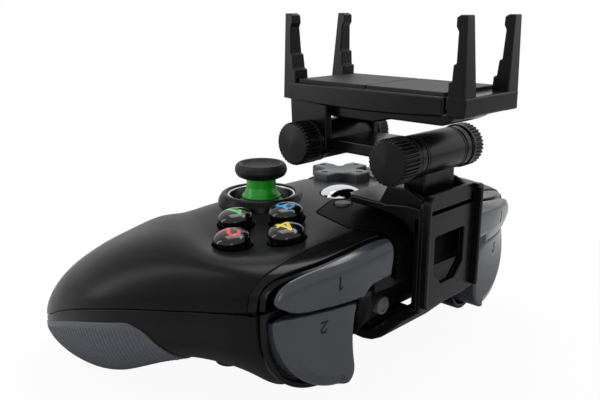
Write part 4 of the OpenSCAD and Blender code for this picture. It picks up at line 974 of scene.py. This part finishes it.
def bumper_drop(x):
    """How far a bumper's lower edge is drawn down: in full along its middle, and nothing at its two ends."""
    start, start_run, end, end_run = 28.2, 2.6, 57, 5
    return BUMPER_DROP * np.clip((end - x) / end_run, 0, 1) * np.clip((x - start) / start_run, 0, 1)


def crested(t0, t1, rows, walls, crown):
    """Body skin for a bumper: folded by 0.12 (1.6 - (d^2 + 0.64)^0.5) where d is the height over a crest
    line, and below z = 7.4 drawn in by 1.2, and down by its drop, times the square of the share of the way
    down to its lower edge."""
    (co, nrm, _), _ = body_skin(t0, t1, rows, True, walls=walls, crown=crown)
    d = co[:, 2] - np.interp(co[:, 0], *CREST.T)
    low = np.clip((7.4 - co[:, 2]) / (7.4 - BUMPER_Z), 0, 1.3)
    co = co + nrm * (0.12 * (1.6 - np.sqrt(d * d + 0.64)) - 1.2 * low**2)[:, None]
    co[:, 2] -= bumper_drop(co[:, 0]) * low**2
    return surface(co.reshape(rows, -1, 3))


class PAD_OT_bumpers(bpy.types.Operator):
    """Shoulder bumpers with a numeral"""
    bl_idname = "pad.bumpers"
    bl_label = "Bumpers"

    def execute(self, context):
        s, slate, ink = sizes(), finish("sanded_slate_abs"), finish("printed_black_ink")
        mark_x, mark_z, mark_high, stroke = 39.9, 9.0, 3.4, 0.55
        skin = crested(0.135, 0.455, 190, 60, 70)
        x, _, z = skin[0].T
        plan = to_polygon(skin[0][:, :2], bay_plan())
        cap = cut(skin, np.maximum(plan, BUMPER_Z - bumper_drop(x) - z) + s.bumper_round)
        lug = block((16.4, 25.8, 7.0), (22.5, 30.8, 10.0), 0.4)
        near = crested(0.24, 0.34, 110, 110, 20)
        x, y, z = near[0].T
        sign = numeral(1, np.stack([x - mark_x, mark_z - z], 1), mark_high, stroke)
        mark = lifted(cut(near, np.where(y < FRONT_Y, 1.0, sign)), INK_LIFT)
        wall = rim(cap, s.bumper_round, 2.4)
        put_pair("{}_bumper_cap", [(cap, slate), (wall, slate), (lug, slate), (mark, ink)],
                 "{}_bumper", "{}_bumper")
        return {"FINISHED"}


def trigger_front(x, z):
    """Front of a trigger: 28.8 + 1.8 ((z + 10) / 12)^2 - 6 s^2 e^((z - 0.6) / 11), with s from its inner
    to its outer edge."""
    s = (x - TUB["in"]) / (TUB["out"] - TUB["in"])
    return 28.8 + 1.8 * ((z + 10) / 12) ** 2 - 6 * s * s * np.exp((z - TUB["top"]) / 11)


class PAD_OT_triggers(bpy.types.Operator):
    """Triggers with a numeral, and the frames they move in"""
    bl_idname = "pad.triggers"
    bl_label = "Triggers"

    def execute(self, context):
        s, slate, polished = sizes(), finish("sanded_slate_abs"), finish("polished_abs")
        ink = finish("printed_black_ink")
        inner, outer, top, low = TUB["in"], TUB["out"], TUB["top"], TUB["low"]
        mark_x, mark_z, mark_high, stroke = 42.4, -2.9, 3.0, 0.55
        proud, slim, bevel_wide, bevel_slope = 0.4, 0.7, 3.0, 0.55
        ring = tub_outline()
        edge = offset_ring(ring, proud)
        way = np.linspace(1, 0, 20)
        brow_z = top + proud + 0.6 * np.sin(math.pi / 2 * way)
        brow = np.stack([inner + (outer - 2 - inner) * way, brow_z], 1)
        front = np.concatenate([edge[1:], brow])

        def rounding(co):
            """Round of the trigger's edge: small under the bumper, full below z = -3."""
            return slim + (s.trigger_round - slim) * np.clip((1.5 - co[:, 2]) / 4.5, 0, 1)
        x, z = np.linspace(inner - 1, outer + 1, 140), np.linspace(low - 1, top + 4, 140)
        x, z = np.meshgrid(x, z, indexing="ij")
        # A bevel along the outer edge: set back by a share of the way from a line inside that edge.
        bevel = bevel_wide - to_path(np.stack([x.ravel(), z.ravel()], 1), edge[10:]).reshape(x.shape)
        back = bevel_slope * np.maximum(bevel, 0) * np.clip((2 - z) / 5, 0, 1)
        face = surface(np.stack([x, trigger_front(x, z) - back, z], -1), flip=True)
        cap = cut(face, to_polygon(face[0][:, [0, 2]], front) + rounding(face[0]))
        wall = rim(cap, rounding, 9.0, into=(0, -1, 0), steps=7)
        wall[0][:, 1] = np.maximum(wall[0][:, 1], np.where(wall[0][:, 2] > top, TUB["front"] + 0.8, 20.8))
        x, z = np.meshgrid(np.linspace(39, 46, 120), np.linspace(-6, 0, 110), indexing="ij")
        near = surface(np.stack([x, trigger_front(x, z), z], -1), flip=True)
        sign = np.stack([near[0][:, 0] - mark_x, mark_z - near[0][:, 2]], 1)
        mark = lifted(cut(near, numeral(2, sign, mark_high, stroke)), INK_LIFT)
        put_pair("{}_trigger_cap", [(cap, slate), (wall, slate), (mark, ink)],
                 "{}_trigger", "{}_trigger")
        # The frame's opening is close beside the trigger and wider below it, where it swings.
        gap = offset_ring(ring, 0.7 + 0.8 * np.clip((-6 - ring[:, 1:]) / 8, 0, 1))
        back, outline = TUB["back"], offset_ring(ring, TUB["gap"] + TUB["wall"])
        bezel = prism(outline, back - 1, TUB["front"], "y", 0.5, 0.8, holes=[gap[::-1]])
        floor = prism(offset_ring(ring, TUB["gap"] + 0.4), back - 1.4, back, "y", 0.2, 0.6)
        put_pair("{}_trigger_bezel", [(bezel, polished), (floor, polished)],
                 "pad", "{}_trigger_frame")
        return {"FINISHED"}


STEM = [(4.6, 17.5, 0), (6.0, 17.5, 0.2), (6.1, 18.0, 0.3), (5.3, 19.0, 1.2), (4.6, 20.6, 2.0),
        (4.6, 25.8, 0)]
CAP_SIDE = [(4.7, 23.8, 0), (6.0, 23.8, 0.6), (7.5, 24.5, 1.4), (8.15, 26.0, 1.4), (7.95, 27.4, 1.0),
            (7.2, 28.3, 0.5), (6.4, 28.4, 0.4), (5.9, 27.9, 0)]
CAP_TOP = [(5.9, 27.9, 0), (5.3, 27.3, 0.6), (3.0, 27.15, 0), (0.01, 27.1, 0)]
STICK_RING = [(10.7, 15.1, 0), (10.7, 18.7, 0.3), (9.9, 18.7, 0.3), (9.9, 15.1, 0.1), (10.7, 15.1, 0)]


class PAD_OT_sticks(bpy.types.Operator):
    """Thumb sticks: rubber caps on green stems, with a plated ring round each"""
    bl_idname = "pad.sticks"
    bl_label = "Thumb sticks"

    def execute(self, context):
        rubber, celled = finish("matt_stick_rubber"), finish("celled_stick_rubber")
        green, dark = finish("moulded_green_abs"), finish("moulded_acetal")
        r, arc = 11.2, np.radians(np.linspace(52, 25.6, 12))
        dome = np.stack([r * np.sin(arc), STICK_PIVOT + r * np.cos(arc), [0.3] + [0] * 10 + [0.4]], 1)
        rings = []
        for side, spot in STICKS.items():
            at, body = (*spot, 0), side + "_stick"
            stem, under = lathe(STEM, at), lathe([(8.0, 13.6, 0), *dome, (4.6, 18.4, 0)], at)
            put(side + "_stem_dome", [(stem, green), (under, dark)], body, body + "_stem")
            cap, top = lathe(CAP_SIDE, at, turns=96), lathe(CAP_TOP, at, turns=96)
            put(side + "_stick_rubber", [(cap, rubber), (top, celled)], body, body + "_cap")
            rings.append(lathe(STICK_RING, at, turns=96))
        put("plated_stick_rings", [(join(*rings), finish("satin_nickel_plate"))],
            "pad", "stick_rings")
        return {"FINISHED"}


def dome_of(r):
    """Height of a face button's top at a radius: -2.1 (1 - (1 - (r / 5)^2.6)^0.55)."""
    return -2.1 * (1 - np.maximum(0, 1 - (r / FACE_R) ** 2.6) ** 0.55)


class PAD_OT_face_buttons(bpy.types.Operator):
    """Four domed face buttons with coloured numerals"""
    bl_idname = "pad.face_buttons"
    bl_label = "Face buttons"

    def execute(self, context):
        s, black, stroke = sizes(), finish("coated_black_acrylic"), 0.95
        r = FACE_R * np.sin(np.linspace(math.pi / 2, 0, 26))
        dome = lathe([(FACE_R, -8.0, 0), *np.stack([np.maximum(r, 0.01), dome_of(r), 0 * r], 1)], (0, 0, 0))
        side = np.linspace(-0.5, 0.5, 120) * (s.mark + 1)
        x, y = np.meshgrid(side, side, indexing="ij")
        top = surface(np.stack([x, y, dome_of(np.minimum(np.hypot(x, y), FACE_R))], -1))
        inks = {"near": "green_ink", "right": "red_ink", "left": "blue_ink", "far": "yellow_ink"}
        for digit, (name, ink) in enumerate(inks.items(), 1):
            shift = np.array([*np.array(FACE_PLACES[name]) * FACE_PITCH, FACE_RISE])
            mark = lifted(cut(top, numeral(digit, top[0][:, :2], s.mark, stroke)), INK_LIFT)
            parts = [((lean(co + shift) + FACE_AT, lean(nrm), tri), material)
                     for (co, nrm, tri), material in ((dome, black), (mark, finish(ink)))]
            put(name + "_button_dome", parts, name + "_button", name + "_face_button")
        return {"FINISHED"}


class PAD_OT_cross(bpy.types.Operator):
    """Direction cross with a hollow middle and a dimple near the end of each arm, with painted shade in each
    dimple
    """
    bl_idname = "pad.cross"
    bl_label = "Direction cross"

    def execute(self, context):
        grey, dark = finish("moulded_grey_abs"), finish("printed_black_ink")
        reach, half, notch, edge = 10.7, 3.5, 1.1, 0.7
        dimple_at, dimple_r, dimple_deep, dimple_shade_r = 8.4, 1.3, 0.55, 1.15
        arm = np.array([[reach, -half], [reach, half], [half + notch, half], [half, half + notch]])
        quarter = np.array([[0, -1], [1, 0]])
        ring = np.concatenate([arm @ np.linalg.matrix_power(quarter, k).T for k in range(4)])
        side = np.linspace(-reach - 0.5, reach + 0.5, 190)
        x, y = np.meshgrid(side, side, indexing="ij")
        across, along = np.sort(np.abs([x, y]), 0)
        end = np.hypot(along - dimple_at, across)
        # The hollow middle is 0.8 deep and rises by r^2 / 56.
        z = np.minimum(CROSS_TOP, CROSS_TOP - 0.8 + np.hypot(x, y) ** 2 / 56)
        z = z - dimple_deep * np.clip(1 - (end / dimple_r) ** 2, 0, 1)
        top = surface(np.stack([x + CROSS_AT[0], y + CROSS_AT[1], z], -1))
        field, end = to_polygon(np.stack([x.ravel(), y.ravel()], 1), ring) + edge, end.ravel()
        wall = rim(cut(top, field), edge, 3.8, into=(0, 0, -1))
        x, y = CROSS_AT
        stem = block((x - 2, y - 4.6, 8.4), (x + 2, y + 4.6, 16.0), 0.3)
        # Each dimple near an arm's end takes the black ink as painted shade of the hollow.
        put("direction_cross_top", [(cut(top, np.maximum(field, dimple_shade_r - end)), grey), (wall, grey),
                                    (cut(top, end - dimple_shade_r), dark), (stem, grey)],
            "direction_cross", "direction_pad")
        return {"FINISHED"}


class PAD_OT_small_buttons(bpy.types.Operator):
    """Home dome, menu, view and pairing buttons and the two rear buttons"""
    bl_idname = "pad.small_buttons"
    bl_label = "Small buttons"

    def execute(self, context):
        chrome, grey = finish("bright_chrome_plate"), finish("moulded_grey_abs")
        black, foot, high = finish("coated_black_acrylic"), 15.2, 2.6
        # The home dome rises by 2.6 (1 - (r / 6.5)^2.2)^0.6.
        r = HOME_R * np.sin(np.linspace(math.pi / 2, 0, 24))
        z = HOME_TOP - high + high * np.maximum(0, 1 - (r / HOME_R) ** 2.2) ** 0.6
        profile = [(HOME_R, foot, 0), *np.stack([np.maximum(r, 0.01), z, 0 * r], 1)]
        put("home_dome", [(lathe(profile, (0, HOME_Y, 0), turns=96), chrome)],
            "home", "home_button")
        cap = [(SMALL_R, foot, 0), (SMALL_R, 18.9, 0.5), (0.01, 18.9, 0)]
        for name, side in (("menu", 1), ("view", -1)):
            put(name + "_cap", [(lathe(cap, (side * SMALL_AT[0], SMALL_AT[1], 0)), grey)],
                name, name + "_button")
        cap = [(SMALL_R, 22.0, 0), (SMALL_R, 29.7, 0.6), (1.7, 29.7, 0.2), (1.5, 29.3, 0.2), (0.01, 29.3, 0)]
        put("pairing_cap", [(lathe(cap, (PAIRING_AT[0], 0, PAIRING_AT[1]), "y"), grey)],
            "pairing", "pairing_button")
        half = REAR_R * circle(np.linspace(-math.pi / 2, math.pi / 2, 13)) + [REAR_HALF, 0]
        oblong = prism(np.concatenate([half, -half]) + REAR_AT, -20.6, -13.4, "z", 0.9, 0.0)
        put_pair("{}_rear_cap", [(oblong, black)], "{}_rear", "{}_rear_button")
        return {"FINISHED"}


CLAMP_Y, PLATE_T, WEB_Y, WEB_FRONT, BORDER_Y = 34.4, 1.2, 36.1, 37.3, 39.3
CLAMP_W, FLANGE_X, FRAME_W, FRAME_LOW, FRAME_SIDE, FRAME_TOP = 12.0, 12.3, 13.7, -5.6, 21.0, 26.6
CLAW_LOW, CLAW_TOP, CLAW_BACK, CLAW_W = 20.4, 22.6, 8.8, 12.7
HOOK_Z, HOOK_BACK, HOOK_FLOOR = -6.0, 10.0, -17.7
HOOK_PROFILE = [
    [35.4, -5.8], [35.4, -2.5], [34.6, -2.5], [32.6, -5.2], [29.6, -7.4], [26.6, -10.2], [23.2, -14.2],
    [20.2, -16.7], [17.5, -17.7], [10, -17.7], [10, -19], [10.8, -20.2], [13, -20.9], [16.5, -21],
    [19.8, -20.4], [23.2, -18.5], [26.8, -15], [30.4, -11.4], [34.2, -8.4], [37, -6]]
SIDE_ARM = [[24, 20.4], [28, 20.2], [31, 19.1], [33, 17.6], [34.4, 15.6], [36.2, 15.6], [36.2, 23.6],
            [31, 23.6], [24, 22.6]]
WINDOW_W, WINDOW_Z = 7.4, (0.0, 14.5)
BARREL_R, BARREL_L, EAR_X, EAR_T = 5.9, 9.5, 9.8, 2.6


def window(grow=0.0):
    """Clockwise window of the clamp plates in x and z, with its lower corners cut."""
    w, (low, high), cut_by = WINDOW_W, WINDOW_Z, 4
    return two_sided([[w - cut_by, low - grow], [w + grow, low + cut_by], [w + grow, high + grow]])[::-1]


def barrel(pivot):
    """Pivot barrel with one fine groove near each end, turned round x."""
    r, groove = BARREL_R, BARREL_R - 0.2
    half = np.array([(r, 8.5), (groove, 8.6), (groove, 8.8), (r, 8.9), (r, BARREL_L), (2.0, BARREL_L)])
    profile = np.concatenate([half[::-1] * [1, -1], half])
    return lathe(np.pad(profile, ((0, 0), (0, 1)), constant_values=0.1), (0, *pivot), "x", 72, 2)


class PAD_OT_clamp(bpy.types.Operator):
    """Clamp of the phone clip: frame with claw and post, and the sliding plate with its hook"""
    bl_idname = "pad.clamp"
    bl_label = "Clamp"

    def execute(self, context):
        nylon, rubber = finish("glass_filled_nylon"), finish("dull_claw_rubber")
        w, low, top, (y, z) = FRAME_W, FRAME_LOW, FRAME_TOP, PIVOT_LOW
        rail, corner, rise = 1.3, 3.2, 5
        border = [(w - rail, low + 0.6), (w, low + 1.5), (w, top), (w - corner, top),
                  (w - corner, top - rail), (w - rail, top - rail)]
        border = prism(border, WEB_FRONT - 0.2, BORDER_Y, "y", sizes().border_round,
                       [0.4, 0.6, 3, 0.3, 0.3, 1.7])
        claw = two_sided([(8.5, CLAW_BACK), (CLAMP_W, CLAW_BACK + 2.2), (CLAW_W, CLAW_BACK + 9.6),
                          (CLAW_W, WEB_FRONT)])
        gusset = [(20, CLAW_LOW), (WEB_FRONT, CLAW_LOW), (WEB_FRONT, CLAW_TOP + 2), (31, CLAW_TOP + rise),
                  (24, CLAW_TOP + rise)]
        frame_parts = [
            prism(two_sided([(w, low), (w, top)]), WEB_Y, WEB_FRONT, "y", 0.3, [0.5, 3, 3, 0.5], [window()]),
            both(block((FLANGE_X, CLAMP_Y, low), (w, 36.3, FRAME_SIDE), 0.4, "x")),
            both(prism(SIDE_ARM, FLANGE_X, w, "x", 0.4, 0.8)),
            both(border),
            prism(claw, CLAW_LOW, CLAW_TOP, "z", 0.5, 1.0),
            both(prism(gusset, CLAMP_W - 2, CLAMP_W, "x", 0.4, 1.2)),
            block((-7.5, y - 3.5, CLAW_TOP - 1), (7.5, y + 3.5, z), 0.6, "x"),
            barrel(PIVOT_LOW)]
        put("clamp_frame_body", [(join(*frame_parts), nylon)], "pad", "clamp_frame")
        slider = two_sided([(CLAMP_W, HOOK_Z), (CLAMP_W, CLAW_LOW - 1)])
        put("clamp_slider_body", [
            (prism(slider, CLAMP_Y, CLAMP_Y + PLATE_T, "y", 0.3, 0.8, holes=[window(0.8)]), nylon),
            (prism(HOOK_PROFILE, -CLAMP_W, CLAMP_W, "x", 0.7, 3.0, steps=5), nylon)],
            "clamp", "clamp_slider")
        upper = block((-6.5, CLAW_BACK + 2.2, 19.6), (6.5, CLAW_BACK + 12.7, CLAW_LOW + 0.2), 0.3)
        put("upper_claw_rubber", [(upper, rubber)], "pad", "upper_claw_pad")
        lower = block((-9, HOOK_BACK + 0.5, HOOK_FLOOR - 0.2), (9, HOOK_BACK + 7, -16.6), 0.4)
        put("lower_claw_rubber", [(lower, rubber)], "clamp", "lower_claw_pad")
        return {"FINISHED"}


KNOB_X, KNOB_R, KNOB_LENGTH = 12.7, 6.3, {"right": 7.8, "left": 6.1}


def knob(pivot, long):
    """Toothed knob turned round x: its radius less 0.5 in 34 grooves, with a plain domed disc at its end."""
    count, deep, finest, fade = 34, 0.5, 0.3, 0.3
    a = np.linspace(0, 2 * math.pi, 12 * count, endpoint=False)
    groove = deep * np.clip(0.4 + 1.3 * np.cos(count * a), 0, 1)
    start, end = KNOB_X, KNOB_X + long
    profile = [(3.0, start), (5.9, start), (KNOB_R, start + 0.4), (KNOB_R, end - 0.9), (5.7, end - 0.35),
               (0.01, end)]
    profile, _ = fillet(profile, [0, 0.3, 0.2, 0.4, 0.2, 0], closed=False, steps=4)
    fine = [profile[0]]
    for p, q in zip(profile[:-1], profile[1:]):
        parts = max(1, int(np.linalg.norm(q - p) / finest))
        fine.extend(p + (q - p) * k / parts for k in range(1, parts + 1))
    r, x = np.array(fine).T[..., None]
    share = np.clip((x - start - 1.3) / fade, 0, 1) * np.clip((r - 5.6) / fade, 0, 1)
    co = placed((r - share * groove)[..., None] * circle(a), x, "x")
    return surface(co + np.array([0, *pivot]), wrap_v=True, flip=True)


class PAD_OT_link(bpy.types.Operator):
    """Link arm between the two pivots and the four knobs"""
    bl_idname = "pad.link"
    bl_label = "Link and knobs"

    def execute(self, context):
        nylon, ear_r, outer = finish("glass_filled_nylon"), 6.0, EAR_X + EAR_T
        back, front, low, high = 19.4, 23.1, 33.8, 36.4
        arc = PIVOT_LOW + ear_r * circle(np.linspace(-0.62 * math.pi, 0.5 * math.pi, 24))
        ear = np.concatenate([arc, [[back, high], [back, low]]])
        parts = [both(prism(ear, EAR_X, outer, "x", 0.5, [0] * 24 + [0.8, 0.8])),
                 block((-outer, back, low), (outer, front, high), 0.6),
                 block((-BARREL_L, PIVOT_UP[0], low), (BARREL_L, front, high + 1), 0.6), barrel(PIVOT_UP)]
        put("link_arm_body", [(join(*parts), nylon)], "link", "link_arm")
        # The knobs on the left are shorter caps over the ends of the bolts.
        for level, pivot in (("lower", PIVOT_LOW), ("upper", PIVOT_UP)):
            for side, turn in (("right", tuple), ("left", mirrored)):
                name, turned = level + "_" + side + "_knob", turn(knob(pivot, KNOB_LENGTH[side]))
                put(name + "_grip", [(turned, nylon)], name, name)
        return {"FINISHED"}


CRADLE_W, CRADLE_BACK, CRADLE_FRONT, TRAY_Z, TRAY_TOP, TRAY_FRONT = 13.6, -14.6, 47.4, 48.4, 53.4, 41.4
PRONG_TOP, PRONG_W, PRONG_TIP, PRONG_T = 73.0, 6.2, 3.3, 5.0


def prongs(turn):
    """Pair of stepped prongs: a side outline carried across, whose width narrows from 6.2 at the foot to
    3.3 at the top. turn is 1 at the back and -1 at the front."""
    h, t, tooth = PRONG_TOP - TRAY_TOP, PRONG_T, 3.7
    side = np.array([[0, -5], [t, -5], [t, 0.18 * h], [t - 0.9, 0.2 * h], [t - 1.1, 0.4 * h],
                     [t - 1.9, 0.42 * h], [t - 2, 0.8 * h], [tooth, 0.86 * h], [tooth, h - 0.6], [2.6, h],
                     [0.7, h]])
    ring = side * [turn, 1] + [CRADLE_BACK if turn > 0 else CRADLE_FRONT, TRAY_TOP]
    co, nrm, tri = prism(ring[::turn], CRADLE_W - PRONG_W, CRADLE_W, "x", 0.4, 0.35)
    x, y, z = co.T
    share = np.clip((z - TRAY_Z) / (PRONG_TOP - TRAY_Z), 0, 1)
    width = PRONG_W + (PRONG_TIP - PRONG_W) * share
    x = CRADLE_W - 0.2 * share - (CRADLE_W - x) / PRONG_W * width
    return both((np.stack([x, y, z], 1), nrm, tri))


class PAD_OT_cradle(bpy.types.Operator):
    """Phone cradle: tray with prongs, its cover and the sliding front jaw"""
    bl_idname = "pad.cradle"
    bl_label = "Cradle"

    def execute(self, context):
        nylon, dull = finish("glass_filled_nylon"), finish("eroded_nylon")
        w, back, front, (y, z) = CRADLE_W, CRADLE_BACK, TRAY_FRONT, PIVOT_UP
        sag, ear_r, foot = 1.1, 6.2, 49.4
        s = np.linspace(-1, 1, 25)
        low = np.stack([(back + front) / 2 + (front - back) / 2 * s, TRAY_Z - sag * (1 - s * s)], 1)
        tray = np.concatenate([low, [[front, TRAY_TOP], [back, TRAY_TOP]]])
        housing = [(-1, foot), (0.5, 43.8), (16, 43.8), (22, 45.2), (front - 3, 45.2), (front, 46.6),
                   (front, foot)]
        arc = PIVOT_UP + ear_r * circle(np.linspace(math.pi, 2 * math.pi, 25))
        ear = np.concatenate([arc, [[y + ear_r, foot], [y - 8.4, foot], [y - 7.8, z + 2]]])
        put("cradle_tray_body", [(join(
            prism(tray, -w, w, "x", 0.7, [0.8] + [0] * 23 + [0.8, 0.5, 0.5]),
            prism(housing, -9.2, 9.2, "x", 0.6, 0.8), prongs(1),
            both(prism(ear, EAR_X, EAR_X + EAR_T, "x", 0.5, [0] * 25 + [0.5] * 3))), nylon)],
            "cradle", "cradle_tray")
        rim_x, middle, split = w - 0.8, 16.0, 0.15
        leaves = ((back + PRONG_T + 0.4, middle - split), (middle + split, front - 0.3))
        cover = join(*[block((-rim_x, first, 53.2), (rim_x, last, 54.4), 0.25) for first, last in leaves])
        put("cradle_cover_plate", [(cover, dull)], "cradle", "cradle_cover")
        chamfer = 1.6
        bar = two_sided([(w - chamfer, TRAY_Z), (w, TRAY_Z + chamfer), (w, TRAY_TOP)])
        jaw = prism(bar, front + 0.4, CRADLE_FRONT, "y", 0.6, [1.5, 1.5, 0.4, 0.4, 1.5, 1.5])
        put("front_jaw_body", [(join(jaw, prongs(-1)), nylon)], "jaw", "front_jaw")
        return {"FINISHED"}


KEPT = {
    "drawn_steel": ["shell_screws", "trigger_pins", "trigger_springs", "right_stick_rocker",
                    "left_stick_rocker", "direction_pad_pin", "clamp_springs", "lower_pivot_bolt",
                    "upper_pivot_bolt", "jaw_rods", "jaw_spring"],
    "satin_nickel_plate": ["right_stick_yoke", "left_stick_yoke", "usb_socket"],
    "moulded_acetal": ["right_stick_housing", "left_stick_housing"],
    "cast_silicone": ["button_membrane"],
    "solder_masked_laminate": ["main_board"],
    "shrunk_pvc_sleeve": ["battery_pack"],
}


class PAD_OT_inner_works(bpy.types.Operator):
    """Finishes of the solids that stay as they are: pins, springs, gimbals, board and battery"""
    bl_idname = "pad.inner_works"
    bl_label = "Inner works"

    def execute(self, context):
        for name, nodes in KEPT.items():
            for node in nodes:
                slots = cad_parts[node].data.materials
                slots.clear()
                slots.append(finish(name))
        return {"FINISHED"}


OPERATORS = (PAD_OT_stage, PAD_OT_shells, PAD_OT_grips, PAD_OT_panel, PAD_OT_bumpers, PAD_OT_triggers,
             PAD_OT_sticks, PAD_OT_face_buttons, PAD_OT_cross, PAD_OT_small_buttons, PAD_OT_clamp,
             PAD_OT_link, PAD_OT_cradle, PAD_OT_inner_works)


class PAD_PT_sidebar(bpy.types.Panel):
    """Lists the sizes, colours and pieces of the game pad"""
    bl_idname = "PAD_PT_sidebar"
    bl_label = "Game pad"
    bl_space_type = "VIEW_3D"
    bl_region_type = "UI"
    bl_category = "Game pad"

    def draw(self, context):
        for group in (context.scene.pad_sizes, context.scene.pad_colours):
            box = self.layout.box()
            for name in group.__annotations__:
                box.prop(group, name)
        for operator in OPERATORS:
            self.layout.operator(operator.bl_idname)


CLASSES = (PadSizes, PadColours, *OPERATORS, PAD_PT_sidebar)


def register():
    for cls in CLASSES:
        bpy.utils.register_class(cls)
    bpy.types.Scene.pad_sizes = bpy.props.PointerProperty(type=PadSizes)
    bpy.types.Scene.pad_colours = bpy.props.PointerProperty(type=PadColours)


def unregister():
    del bpy.types.Scene.pad_sizes
    del bpy.types.Scene.pad_colours
    for cls in reversed(CLASSES):
        bpy.utils.unregister_class(cls)


def main():
    register()
    for operator in OPERATORS:
        area, name = operator.bl_idname.split(".")
        getattr(getattr(bpy.ops, area), name)()


if __name__ == "__main__":
    main()
